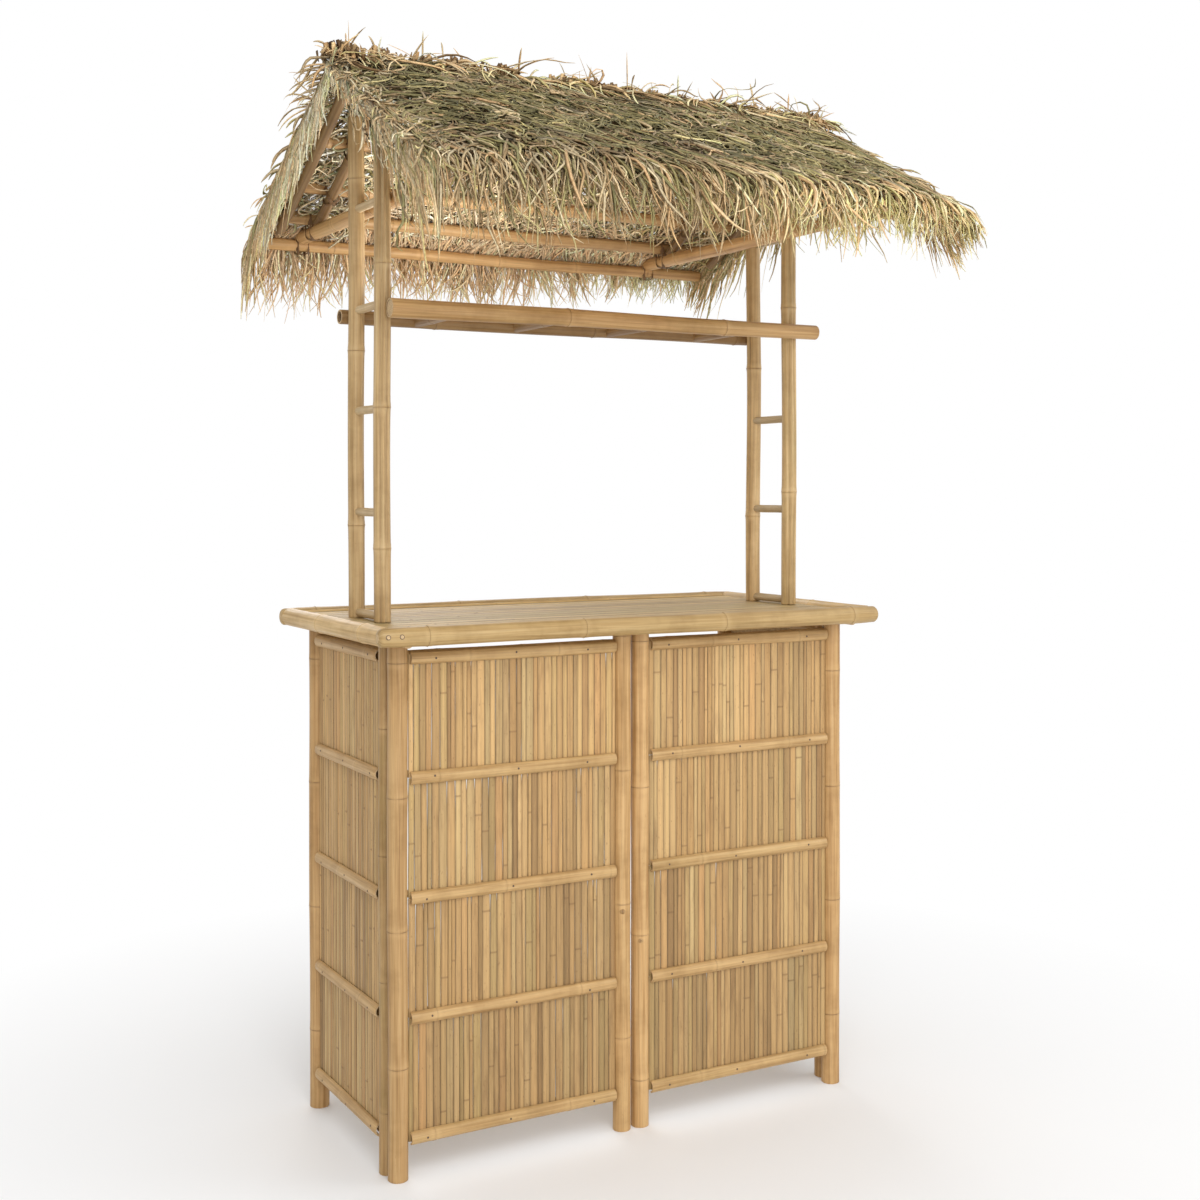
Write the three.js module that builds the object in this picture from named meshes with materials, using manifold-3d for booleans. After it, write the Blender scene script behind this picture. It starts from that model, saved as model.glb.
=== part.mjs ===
// A bamboo bar hut with a straw roof, in millimetres. X runs to the right along the front, Y to the
// back, Z up. The origin is on the ground, under the middle of the roof.
import * as THREE from 'three';
import { mergeVertices } from 'three/addons/utils/BufferGeometryUtils.js';
import Module from 'manifold-3d';

const wasm = await Module();
wasm.setup();

// Joints: pieces that touch are drawn this far apart, and a pole nailed across another is scribed to it
const jointGap = 0.3;
const scribeDepth = 2;
const overrun = 40;

// Base: two panels along the front and one at each side, each between two posts of its own
const baseLength = 1068;
const baseDepth = 442;
const cornerPostRadius = 21;
const middlePostRadius = 20;
const middlePostGap = 5;
const sidePostRadius = 17.5;
const backPostRadius = 22;
const sidePostStep = 6;
const sidePostGap = 2;
const railCount = 5;
const lowestRailHeight = 80;
const railPitch = 238.25;
const railWidth = 26;
const railDepth = 11;
const railEndGap = 2;
const slatPitch = 13.2;
const slatThickness = 6;
const slatGroove = 1.6;
const matEndGap = 4;
const matFaceDepth = 8;
const matEdgeInset = 6;
const battenRadius = 8;
const battenRise = 7;
const battenSink = 1.2;

// Counter: a frame of four poles round a bed of split strips, on two bearers
const counterEndOverhang = 71;
const counterOverhang = 72;
const counterHeight = 1101;
const counterPoleRadius = 20;
const counterEndRound = 12;
const bedDrop = 9;
const bedThickness = 10;
const bedSideGap = 4;
const stripPitch = 16.5;
const stripGroove = 1.4;
const bearerRadius = 12;

// Ladders: two uprights each, joined by rungs
const ladderInset = 20;
const ladderShift = 7;
const ladderWidth = 148;
const ladderTopClear = 38;
const uprightRadius = 18;
const rungRadius = 9.5;
const rungCount = 5;
const lowestRungLift = 1.5;
const topRungDrop = 197;

// Rack: two long poles nailed to the ladders, with bars between them
const rackHeight = 1736;
const rackFrontRadius = 19.5;
const rackBackRadius = 16.5;
const rackFrontLeftPast = -2;
const rackFrontRightPast = 51;
const rackBackLeftPast = 26;
const rackBackRightPast = 2;
const rackBarRadius = 12;
const rackBarDrop = 3;
const rackBarCount = 4;
const rackEndBarInset = 151;

// Roof: tie beams on the ladders carry the eave poles and a lattice of purlins and rafters
const roofShift = 40;
const tieHeight = 1966;
const tieRadius = 17;
const tieOverhang = 2;
const tieNotch = 14;
const eaveSpan = 1060;
const eaveRadius = 15;
const roofRise = 281;
const roofPoleOverhang = 101;
const purlinRadius = 15;
const upperPurlinShares = [0.63, 0.36];
const rafterRadius = 12.5;
const rafterSink = 1.5;
const rafterFootRun = 6;
const gableRafterInset = 20;
const ridgeRadius = 14.5;

// Thatch: one layer of straw on each slope, whose ends hang past the eaves, and a cap on the ridge
const thatchOverhang = 30;
const thatchThickness = 22;
const thatchLump = 7;
const thatchStep = 40;
const fringeThickness = 30;
const fringeDrop = 138;
const fringeRag = 34;
const fringeLean = 22;
const fringeClear = 1.5;
const fringeShoulderShare = 0.8;
const fringeBellyShare = 0.35;
const fringeTipShare = 0.2;
const leastLeanShare = 0.6;
const lumpShares = [0.4, 0.7];
const capReach = 62;
const capThickness = 30;
const capRag = 16;
const capLip = 7;
const capShoulderShare = 0.5;
const capShoulderRiseShare = 0.7;

// Bamboo: a culm has a low ring at each of its joints, and its stem is a little slimmer between them
const ringHeight = 0.5;
const ringHalfWidth = 5;
const postRingPitch = 262;
const counterRingPitch = 305;
const uprightRingPitch = 238;
const rackRingPitch = 290;
const roofRingPitch = 275;
const poleSides = 12;
const barSides = 8;

const bamboo = new THREE.MeshStandardMaterial({ color: 0xc9a469, roughness: 0.5, metalness: 0 });
const splitBamboo = new THREE.MeshStandardMaterial({ color: 0xc4a06c, roughness: 0.6, metalness: 0 });
const shadedBamboo = new THREE.MeshStandardMaterial({ color: 0xb08050, roughness: 0.55, metalness: 0 });
const straw = new THREE.MeshStandardMaterial({ color: 0xb3a074, roughness: 0.85, metalness: 0 });

const hut = new THREE.Group();
const lower = new THREE.Group();
lower.position.x = -roofShift;
const stand = new THREE.Group();
stand.position.x = ladderShift - roofShift;
const roof = new THREE.Group();
hut.add(lower, stand, roof);

const alongX = new THREE.Matrix4().makeRotationY(Math.PI / 2);
const alongY = new THREE.Matrix4().makeRotationX(-Math.PI / 2);
const sectionAlongX = new THREE.Matrix4().makeBasis(
  new THREE.Vector3(0, 1, 0), new THREE.Vector3(0, 0, 1), new THREE.Vector3(1, 0, 0));

function add(group, name, geometry, material, x = 0, y = 0, z = 0) {
  const mesh = new THREE.Mesh(geometry, material);
  mesh.name = name;
  mesh.position.set(x, y, z);
  group.add(mesh);
  return mesh;
}

// A pole along +Z from the origin. Rings sit every ringPitch, the first one at firstShare of it
function pole(length, radius, ringPitch, firstShare = 0.5, endRound = 0) {
  const stem = radius - ringHeight;
  const profile = [new THREE.Vector2(0, 0)];
  const roundSteps = endRound > 0 ? 3 : 0;
  for (let i = 0; i < roundSteps; i += 1) {
    const turn = (Math.PI / 2) * ((i + 1) / (roundSteps + 1));
    profile.push(new THREE.Vector2(stem * Math.sin(turn), endRound * (1 - Math.cos(turn))));
  }
  profile.push(new THREE.Vector2(stem, endRound));
  for (let z = ringPitch * firstShare; z < length - endRound - 2 * ringHalfWidth; z += ringPitch) {
    if (z > endRound + 2 * ringHalfWidth) {
      profile.push(new THREE.Vector2(stem, z - ringHalfWidth));
      profile.push(new THREE.Vector2(radius, z));
      profile.push(new THREE.Vector2(stem, z + ringHalfWidth));
    }
  }
  profile.push(new THREE.Vector2(stem, length - endRound));
  for (let i = roundSteps; i > 0; i -= 1) {
    const turn = (Math.PI / 2) * (i / (roundSteps + 1));
    profile.push(new THREE.Vector2(stem * Math.sin(turn), length - endRound * (1 - Math.cos(turn))));
  }
  profile.push(new THREE.Vector2(0, length));
  return new THREE.LatheGeometry(profile, poleSides).rotateX(Math.PI / 2);
}

// A plain round bar along +Z from the origin
function bar(length, radius, sides = barSides) {
  return new THREE.CylinderGeometry(radius, radius, length, sides).rotateX(Math.PI / 2)
    .translate(0, 0, length / 2);
}

// The space that a pole and its joint gap fill, to cut out of what is scribed round it
function poleSpace(length, radius) {
  return bar(length + 2 * jointGap, radius + jointGap, poleSides).translate(0, 0, -jointGap);
}

function toSolid(geometry) {
  const bare = geometry.clone();
  bare.deleteAttribute('normal');
  bare.deleteAttribute('uv');
  const merged = mergeVertices(bare);
  const corners = merged.index.array;
  const triangles = [];
  for (let i = 0; i < corners.length; i += 3) {
    const [a, b, c] = corners.slice(i, i + 3);
    if (a !== b && b !== c && c !== a) triangles.push(a, b, c);
  }
  return new wasm.Manifold(new wasm.Mesh({
    numProp: 3,
    vertProperties: new Float32Array(merged.attributes.position.array),
    triVerts: new Uint32Array(triangles),
  }));
}

function toGeometry(solid) {
  const mesh = solid.getMesh();
  const geometry = new THREE.BufferGeometry();
  geometry.setAttribute('position', new THREE.BufferAttribute(mesh.vertProperties, 3));
  geometry.setIndex(new THREE.BufferAttribute(mesh.triVerts, 1));
  geometry.computeVertexNormals();
  return geometry;
}

function shape(added, removed) {
  let solid = added.map(toSolid).reduce((sum, piece) => sum.add(piece));
  for (const cutter of removed) solid = solid.subtract(toSolid(cutter));
  return toGeometry(solid);
}

// A row of strips side by side, seen from the end: each is flat with a groove on either side
function stripOutline(width, pitch, thickness, groove) {
  const count = Math.max(2, Math.round(width / pitch));
  const step = width / count;
  const shoulderShare = 0.16;
  const outline = new THREE.Shape();
  outline.moveTo(0, thickness);
  outline.lineTo(0, groove);
  for (let i = 0; i < count; i += 1) {
    outline.lineTo((i + shoulderShare) * step, 0);
    outline.lineTo((i + 1 - shoulderShare) * step, 0);
    outline.lineTo((i + 1) * step, groove);
  }
  outline.lineTo(width, thickness);
  return outline;
}

// Base panels
const railHeights = Array.from({ length: railCount }, (_, i) => lowestRailHeight + i * railPitch);
const topRailHeight = railHeights[railCount - 1];
const bedTop = counterHeight - bedDrop;
const bedUnderside = bedTop - bedThickness;
const bearerHeight = bedUnderside - jointGap - bearerRadius;
const cornerPostTop = bearerHeight - bearerRadius - jointGap;
const middlePostTop = bedUnderside - jointGap;

// One panel between two posts at start and end along X, its outer face towards -Y
function addPanel(group, name, start, startRadius, end, endRadius) {
  const matStart = start + startRadius + matEndGap;
  const matWidth = end - endRadius - matEndGap - matStart;
  const matBottom = lowestRailHeight - railWidth / 2 + matEdgeInset;
  const matHeight = topRailHeight - lowestRailHeight + railWidth - 2 * matEdgeInset;
  const matOutline = stripOutline(matWidth, slatPitch, slatThickness, slatGroove);
  const mat = new THREE.ExtrudeGeometry(matOutline, { depth: matHeight, bevelEnabled: false })
    .translate(matStart, -matFaceDepth, matBottom);
  const battenDepth = slatThickness - matFaceDepth + battenRadius - battenSink;
  const battens = railHeights.map((height) => bar(end - start, battenRadius).applyMatrix4(alongX)
    .translate(start, battenDepth, height + battenRise));
  const postCuts = [[start, startRadius], [end, endRadius]].map(([x, radius]) =>
    poleSpace(topRailHeight + 2 * overrun, radius).translate(x, 0, 0));
  add(group, `slats_${name}`, shape([mat, ...battens], postCuts), splitBamboo);

  const railStart = start + startRadius + railEndGap;
  const railLength = end - endRadius - railEndGap - railStart;
  const railOutline = new THREE.Shape();
  railOutline.absellipse(0, 0, railDepth, railWidth / 2, Math.PI / 2, Math.PI * 1.5);
  const railOptions = { depth: railLength, bevelEnabled: false, curveSegments: 4 };
  railHeights.forEach((height, i) => {
    const rail = new THREE.ExtrudeGeometry(railOutline, railOptions).applyMatrix4(sectionAlongX);
    add(group, `rail_${name}_${i + 1}`, rail, bamboo, railStart, -matFaceDepth - jointGap, height);
  });
}

const cornerX = baseLength / 2;
const middleX = middlePostRadius + middlePostGap / 2;
const frontY = -baseDepth / 2;
const front = new THREE.Group();
front.position.y = frontY;
lower.add(front);
const frontPosts = [
  ['post_front_left', -cornerX, cornerPostRadius, cornerPostTop, 0.62],
  ['post_middle_left', -middleX, middlePostRadius, middlePostTop, 0.35],
  ['post_middle_right', middleX, middlePostRadius, middlePostTop, 0.8],
  ['post_front_right', cornerX, cornerPostRadius, cornerPostTop, 0.45],
];
for (const [name, x, radius, height, firstShare] of frontPosts) {
  add(front, name, pole(height, radius, postRingPitch, firstShare), bamboo, x);
}
addPanel(front, 'front_left', -cornerX, cornerPostRadius, -middleX, middlePostRadius);
addPanel(front, 'front_right', middleX, middlePostRadius, cornerX, cornerPostRadius);

const sideX = cornerX + sidePostStep;
const sideFrontY = frontY + cornerPostRadius + sidePostRadius + sidePostGap;
for (const [name, side] of [['left', -1], ['right', 1]]) {
  const panel = new THREE.Group();
  panel.position.x = side * sideX;
  panel.rotation.z = side * Math.PI / 2;
  lower.add(panel);
  const frontPost = side * sideFrontY;
  const backPost = -side * frontY;
  const frontCulm = pole(cornerPostTop, sidePostRadius, postRingPitch, 0.3);
  const backCulm = pole(cornerPostTop, backPostRadius, postRingPitch, 0.7);
  add(panel, `post_side_${name}_front`, frontCulm, bamboo, frontPost);
  add(panel, `post_side_${name}_back`, backCulm, bamboo, backPost);
  const ends = [[frontPost, sidePostRadius], [backPost, backPostRadius]].sort((a, b) => a[0] - b[0]);
  addPanel(panel, `side_${name}`, ...ends[0], ...ends[1]);
}

// Counter
const counterLength = baseLength + 2 * counterEndOverhang;
const counterPoleSpacing = baseDepth + 2 * counterOverhang;
const counterPoleY = counterPoleSpacing / 2;
const counterZ = counterHeight - counterPoleRadius;
const counterSideX = counterLength / 2 - counterPoleRadius;
const longCounterPole = (firstShare) => pole(counterLength, counterPoleRadius, counterRingPitch,
  firstShare, counterEndRound).applyMatrix4(alongX);
add(lower, 'counter_pole_front', longCounterPole(0.42), bamboo, -counterLength / 2, -counterPoleY, counterZ);
add(lower, 'counter_pole_back', longCounterPole(0.7), bamboo, -counterLength / 2, counterPoleY, counterZ);
const counterCuts = [-counterPoleY, counterPoleY].map((y) =>
  poleSpace(counterLength, counterPoleRadius).applyMatrix4(alongX)
    .translate(-counterLength / 2, y, counterZ));
for (const [name, side] of [['left', -1], ['right', 1]]) {
  const sidePole = pole(counterPoleSpacing, counterPoleRadius, counterRingPitch, 0.55)
    .applyMatrix4(alongY).translate(side * counterSideX, -counterPoleY, counterZ);
  add(lower, `counter_pole_${name}`, shape([sidePole], counterCuts), bamboo);
  const bearer = bar(counterPoleSpacing, bearerRadius)
    .applyMatrix4(alongY).translate(side * sideX, -counterPoleY, bearerHeight);
  add(lower, `counter_bearer_${name}`, shape([bearer], counterCuts), bamboo);
}
const bedLength = 2 * (counterSideX - counterPoleRadius - bedSideGap);
const bedWidth = counterPoleSpacing - 2 * (counterPoleRadius + jointGap);
const bedOutline = stripOutline(bedWidth, stripPitch, bedThickness, stripGroove);
const bed = new THREE.ExtrudeGeometry(bedOutline, { depth: bedLength, bevelEnabled: false })
  .applyMatrix4(sectionAlongX).rotateX(Math.PI);
add(lower, 'counter_bed', bed, splitBamboo, -bedLength / 2, bedWidth / 2, bedTop);

// Slope of the roof: its line runs through the middle of every purlin and eave pole
const eaveY = eaveSpan / 2;
const eaveZ = tieHeight - tieRadius + tieNotch - jointGap - eaveRadius;
const ridgeZ = eaveZ + roofRise;
const slope = Math.atan2(roofRise, eaveY);
const slopeZ = (y) => ridgeZ - y * Math.tan(slope);
const thatchUnder = (purlinRadius + jointGap) / Math.cos(slope);

// Ladders: they end under the thatch. The rungs are fixed in the back upright and scribed round the
// front one
const ladderSpacing = baseLength - 2 * ladderInset;
const ladderX = ladderSpacing / 2;
const uprightY = ladderWidth / 2;
const ladderTop = slopeZ(uprightY + uprightRadius) + thatchUnder - ladderTopClear;
const ladderFoot = bedTop + jointGap;
const uprightLength = ladderTop - ladderFoot;
const lowestRung = lowestRungLift + rungRadius;
const rungPitch = (uprightLength - topRungDrop - lowestRung) / (rungCount - 1);
for (const [name, side, frontShare, backShare] of [['left', -1, 0.86, 0.34], ['right', 1, 0.2, 0.6]]) {
  const x = side * ladderX;
  const frontUpright = pole(uprightLength, uprightRadius, uprightRingPitch, frontShare);
  add(stand, `ladder_${name}_upright_front`, frontUpright, bamboo, x, -uprightY, ladderFoot);
  const backUpright = pole(uprightLength, uprightRadius, uprightRingPitch, backShare)
    .translate(x, uprightY, ladderFoot);
  const rungs = Array.from({ length: rungCount }, (_, i) => bar(ladderWidth, rungRadius)
    .applyMatrix4(alongY)
    .translate(x, -uprightY, ladderFoot + lowestRung + i * rungPitch));
  const frontCut = poleSpace(uprightLength, uprightRadius).translate(x, -uprightY, ladderFoot);
  add(stand, `ladder_${name}_upright_back`, shape([backUpright, ...rungs], [frontCut]), bamboo);
}

// Rack: the poles are scribed over the uprights, and the bars between the two poles
const uprightSpaces = [-1, 1].flatMap((side) => [-uprightY, uprightY].map((y) =>
  poleSpace(uprightLength, uprightRadius).translate(side * ladderX, y, ladderFoot)));
const rackFrontY = scribeDepth - uprightY - uprightRadius - rackFrontRadius;
const rackBackY = uprightY + uprightRadius + rackBackRadius - scribeDepth;
const rackPole = (leftPast, rightPast, radius, firstShare, y) =>
  pole(leftPast + ladderSpacing + rightPast, radius, rackRingPitch, firstShare)
    .applyMatrix4(alongX).translate(-ladderX - leftPast, y, rackHeight);
const rackFront = rackPole(rackFrontLeftPast, rackFrontRightPast, rackFrontRadius, 0.75, rackFrontY);
const rackBack = rackPole(rackBackLeftPast, rackBackRightPast, rackBackRadius, 0.4, rackBackY);
add(stand, 'rack_pole_front', shape([rackFront], uprightSpaces), bamboo);
add(stand, 'rack_pole_back', shape([rackBack], uprightSpaces), bamboo);
const rackCuts = [[rackFrontY, rackFrontRadius], [rackBackY, rackBackRadius]].map(([y, radius]) =>
  poleSpace(ladderSpacing, radius).applyMatrix4(alongX).translate(-ladderX, y, rackHeight));
const rackBarPitch = (ladderSpacing - 2 * rackEndBarInset) / (rackBarCount - 1);
for (let i = 0; i < rackBarCount; i += 1) {
  const x = rackEndBarInset - ladderX + i * rackBarPitch;
  const crossBar = bar(rackBackY - rackFrontY, rackBarRadius).applyMatrix4(alongY)
    .translate(x, rackFrontY, rackHeight - rackBarDrop);
  add(stand, `rack_bar_${i + 1}`, shape([crossBar], rackCuts), bamboo);
}

// Roof poles. The tie beams are notched over the eave poles and scribed to the uprights, and the
// ridge pole sits on the peak of the rafters
const rafterPeakZ = ridgeZ - (purlinRadius - rafterSink) / Math.cos(slope);
const ridgePoleZ = rafterPeakZ + ridgeRadius - scribeDepth;
const roofPoleLength = ladderSpacing + 2 * roofPoleOverhang;
const poleHalf = roofPoleLength / 2;
const tieHalf = eaveY + tieOverhang;
const tieInset = uprightRadius + tieRadius - scribeDepth;
const tieXs = [-1, 1].map((side) => side * (ladderX - tieInset) + stand.position.x);
const tieCuts = uprightSpaces.map((space) => space.clone().translate(stand.position.x, 0, 0));
const eaveCuts = [-eaveY, eaveY].map((y) => poleSpace(roofPoleLength, eaveRadius)
  .applyMatrix4(alongX).translate(-poleHalf, y, eaveZ));
['left', 'right'].forEach((name, i) => {
  const tie = pole(2 * tieHalf, tieRadius, roofRingPitch, 0.6).applyMatrix4(alongY)
    .translate(tieXs[i], -tieHalf, tieHeight);
  add(roof, `tie_beam_${name}`, shape([tie], [...eaveCuts, ...tieCuts]), shadedBamboo);
});
const roofPole = (radius, firstShare) =>
  pole(roofPoleLength, radius, roofRingPitch, firstShare).applyMatrix4(alongX);
add(roof, 'eave_pole_front', roofPole(eaveRadius, 0.3), shadedBamboo, -poleHalf, -eaveY, eaveZ);
add(roof, 'eave_pole_back', roofPole(eaveRadius, 0.65), shadedBamboo, -poleHalf, eaveY, eaveZ);
add(roof, 'ridge_pole', roofPole(ridgeRadius, 0.5), shadedBamboo, -poleHalf, 0, ridgePoleZ);

// Lattice of one slope, built for the back: rafters lashed under three purlins. The two rafters
// over the tie beams stand on them, and the two at the gables end under the lowest purlin
const lowestPurlinZ = tieHeight + tieRadius + jointGap + purlinRadius;
const lowestPurlinY = (ridgeZ - lowestPurlinZ) / Math.tan(slope);
const purlinYs = [lowestPurlinY, ...upperPurlinShares.map((share) => share * eaveY)];
const rafterRidgeZ = rafterPeakZ - rafterRadius / Math.cos(slope);
const gableRafterX = poleHalf - gableRafterInset;
const rafterLength = (lowestPurlinY + rafterFootRun) / Math.cos(slope);
function rafter(x) {
  return bar(rafterLength + overrun, rafterRadius).translate(0, 0, -overrun).applyMatrix4(alongY)
    .rotateX(-slope).translate(x, 0, rafterRidgeZ);
}
function lattice() {
  const purlins = purlinYs.map((y) => bar(roofPoleLength, purlinRadius, poleSides)
    .applyMatrix4(alongX).translate(-poleHalf, y, slopeZ(y)));
  const tieTop = tieHeight + tieRadius + jointGap;
  const underTie = new THREE.BoxGeometry(2 * overrun, 2 * tieHalf, roofRise)
    .translate(0, 0, tieTop - roofRise / 2);
  const standing = tieXs.map((x) => shape([rafter(x)], [underTie.clone().translate(x, 0, 0)]));
  const ridgeCut = poleSpace(roofPoleLength, ridgeRadius).applyMatrix4(alongX)
    .translate(-poleHalf, 0, ridgePoleZ);
  const otherSlope = new THREE.BoxGeometry(roofPoleLength, eaveY, roofRise)
    .translate(0, jointGap / 2 - eaveY / 2, rafterRidgeZ);
  const gable = [-gableRafterX, gableRafterX].map(rafter);
  return shape([...purlins, ...standing, ...gable], [ridgeCut, otherSlope]);
}
add(roof, 'roof_lattice_back', lattice(), shadedBamboo);
add(roof, 'roof_lattice_front', mirrored(lattice()), shadedBamboo);

// The same geometry on the other side of the ridge, with its faces still pointing out
function mirrored(geometry) {
  const flipped = geometry.clone().scale(1, -1, 1);
  const corners = flipped.index.array;
  for (let i = 0; i < corners.length; i += 3) {
    [corners[i], corners[i + 1]] = [corners[i + 1], corners[i]];
  }
  flipped.computeVertexNormals();
  return flipped;
}

// A closed body through a row of sections of as many [y, z] points each, capped at both ends
function loft(sections) {
  const size = sections[0].points.length;
  const positions = sections.flatMap(({ x, points }) => points.flatMap(([y, z]) => [x, y, z]));
  const corners = [];
  for (let i = 0; i + 1 < sections.length; i += 1) {
    for (let j = 0; j < size; j += 1) {
      const a = i * size + j;
      const b = i * size + (j + 1) % size;
      corners.push(a, b, b + size, a, b + size, a + size);
    }
  }
  for (const [first, flip] of [[0, true], [(sections.length - 1) * size, false]]) {
    const points = sections[first / size].points.map(([y, z]) => new THREE.Vector2(y, z));
    for (const [a, b, c] of THREE.ShapeUtils.triangulateShape(points, [])) {
      corners.push(first + a, first + (flip ? c : b), first + (flip ? b : c));
    }
  }
  const geometry = new THREE.BufferGeometry();
  geometry.setAttribute('position', new THREE.Float32BufferAttribute(positions, 3));
  geometry.setIndex(corners);
  geometry.computeVertexNormals();
  return geometry;
}

// A steady unevenness between 0 and 1 for straw number i of row
function uneven(i, row) {
  const turn = Math.sin(i * 12.9898 + row * 78.233) * 43758.5453;
  return turn - Math.floor(turn);
}

// Thatch of the back slope: it lies on the purlins, closes round the ends of the tie beams, and its
// fringe hangs outside the eave pole
const thatchLength = roofPoleLength + 2 * thatchOverhang;
const thatchHalf = thatchLength / 2;
const stations = Math.max(2, Math.round(thatchLength / thatchStep));
const stationX = (i) => -thatchHalf + (thatchLength * i) / stations;
const thatchTop = thatchUnder + thatchThickness / Math.cos(slope);
const fringeY = eaveY + eaveRadius + fringeClear;
function thatch() {
  const sections = [];
  for (let i = 0; i <= stations; i += 1) {
    const tipZ = eaveZ - fringeDrop + (uneven(i, 1) - 0.5) * 2 * fringeRag;
    const lean = fringeLean * (leastLeanShare + (1 - leastLeanShare) * uneven(i, 2));
    const top = (y, lump = 0) => [y, slopeZ(y) + thatchTop + lump];
    const lumps = lumpShares.map((share, row) => top(share * eaveY, thatchLump * uneven(i, row + 3)));
    sections.push({
      x: stationX(i),
      points: [
        [jointGap / 2, slopeZ(jointGap / 2) + thatchUnder],
        [fringeY, slopeZ(fringeY) + thatchUnder],
        [fringeY + lean / 2, tipZ],
        [fringeY + lean, tipZ - fringeRag * fringeTipShare],
        [fringeY + fringeThickness, eaveZ - fringeDrop * fringeBellyShare],
        [fringeY + fringeThickness * fringeShoulderShare, slopeZ(fringeY) + (thatchUnder + thatchTop) / 2],
        top(eaveY),
        ...lumps.reverse(),
        top(capReach + capLip),
        top(jointGap / 2),
      ],
    });
  }
  const tieEnds = tieXs.map((x) => poleSpace(2 * tieHalf, tieRadius).applyMatrix4(alongY)
    .translate(x, -tieHalf, tieHeight));
  return shape([loft(sections)], tieEnds);
}
add(roof, 'thatch_back', thatch(), straw);
add(roof, 'thatch_front', mirrored(thatch()), straw);

// Cap of folded straw astride the ridge
function ridgeCap() {
  const under = (y) => slopeZ(Math.abs(y)) + thatchTop + jointGap / Math.cos(slope);
  const capShoulder = capReach * capShoulderShare;
  const shoulderZ = under(capShoulder) + capThickness * capShoulderRiseShare;
  const sections = [];
  for (let i = 0; i <= stations; i += 1) {
    const rag = (row) => capRag * (uneven(i, row) - 0.5);
    sections.push({
      x: stationX(i),
      points: [
        [-capReach, under(capReach)], [0, under(0)], [capReach, under(capReach)],
        [capReach, under(capReach) + capLip],
        [capShoulder, shoulderZ + rag(11)],
        [0, under(0) + capThickness + rag(12)],
        [-capShoulder, shoulderZ + rag(13)],
        [-capReach, under(capReach) + capLip],
      ],
    });
  }
  return loft(sections);
}
add(roof, 'thatch_ridge_cap', ridgeCap(), straw);

export default hut;
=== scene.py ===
import math
import random

import bpy
import numpy as np
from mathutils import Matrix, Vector


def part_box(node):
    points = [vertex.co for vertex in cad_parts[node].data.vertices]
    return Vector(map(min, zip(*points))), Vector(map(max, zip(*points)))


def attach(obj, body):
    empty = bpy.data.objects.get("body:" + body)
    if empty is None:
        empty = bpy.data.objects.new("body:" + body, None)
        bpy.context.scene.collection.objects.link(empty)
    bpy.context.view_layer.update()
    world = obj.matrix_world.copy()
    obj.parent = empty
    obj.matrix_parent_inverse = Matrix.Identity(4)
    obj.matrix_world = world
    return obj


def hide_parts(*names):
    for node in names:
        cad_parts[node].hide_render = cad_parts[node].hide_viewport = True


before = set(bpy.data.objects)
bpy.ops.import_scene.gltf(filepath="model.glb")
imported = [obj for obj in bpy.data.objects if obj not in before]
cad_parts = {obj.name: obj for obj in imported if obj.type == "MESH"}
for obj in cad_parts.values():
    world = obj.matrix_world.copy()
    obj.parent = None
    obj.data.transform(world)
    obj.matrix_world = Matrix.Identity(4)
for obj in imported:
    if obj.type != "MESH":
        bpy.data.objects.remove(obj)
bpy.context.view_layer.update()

# The view. The camera stands off the front left corner of the bar at chest height, three and a half
# metres away and level, with a lens long enough that the posts stay upright in the picture.
camera_place = (-1.7666, -3.158, 1.3706)
camera_turn, camera_tip = 29.4, 0.61
camera_lens, sensor_width = 47.88, 36
camera_shift = (-0.0013, -0.08)


def stand(name, data):
    """Puts an object with this mesh, lens or lamp in the scene."""
    thing = bpy.data.objects.new(name, data)
    bpy.context.collection.objects.link(thing)
    return thing


camera = stand("photo_camera", bpy.data.cameras.new("photo_camera"))
camera.location = camera_place
camera.rotation_euler = (math.radians(90 - camera_tip), 0, math.radians(-camera_turn))
camera.data.sensor_width, camera.data.lens = sensor_width, camera_lens
camera.data.shift_x, camera.data.shift_y = camera_shift
bpy.context.scene.camera = camera

# Posts. Eight bamboo culms stand on the ground, two to a panel. Each is a hollow stem with a fine
# dark ring at every joint, where a sheath once grew, and it is sawn square at both ends.
post_wall = 0.0045
post_sides = 28
post_bow = 0.0012
post_joints = {
    # The height of the first joint, the distance from one to the next, and how light the culm is.
    "post_front_left": (0.223, 0.268, 0.84), "post_middle_left": (0.199, 0.284, 0.97),
    "post_middle_right": (0.101, 0.316, 1.02), "post_front_right": (0.16, 0.262, 0.98),
    "post_side_left_front": (0.124, 0.255, 0.80), "post_side_left_back": (0.172, 0.276, 0.92),
    "post_side_right_front": (0.13, 0.27, 0.95), "post_side_right_back": (0.17, 0.25, 0.9),
}
full_turn, any_turn = 2 * math.pi, (0, 6.28)
# The stem and its colour change over joint_reach to each side of a joint, and its sawn edges are
# blunt from end_edge in.
joint_reach = 0.03
joint_stops = (-0.03, -0.016, -0.008, -0.004, -0.0017, -0.0006, 0, 0.0009, 0.003, 0.007, 0.013, 0.03)
joint_clear = 0.012
end_edge = (0.0008, 0.004)
stem_step = 0.04
plug_depth, hollow_depth = 0.0012, 0.03
pitch_shares, ovals = (0.98, 1.02), (0.002, 0.012)
# Shares of the radius: at a sawn edge, and of the flat middle of a rounded end.
blunt_share, dome_flat = 0.97, 0.16
# A branch groove is two dents side by side, and painted shade darkens it.
dent_aside, dent_width, groove_shade = 0.36, 0.2, 0.18


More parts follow.
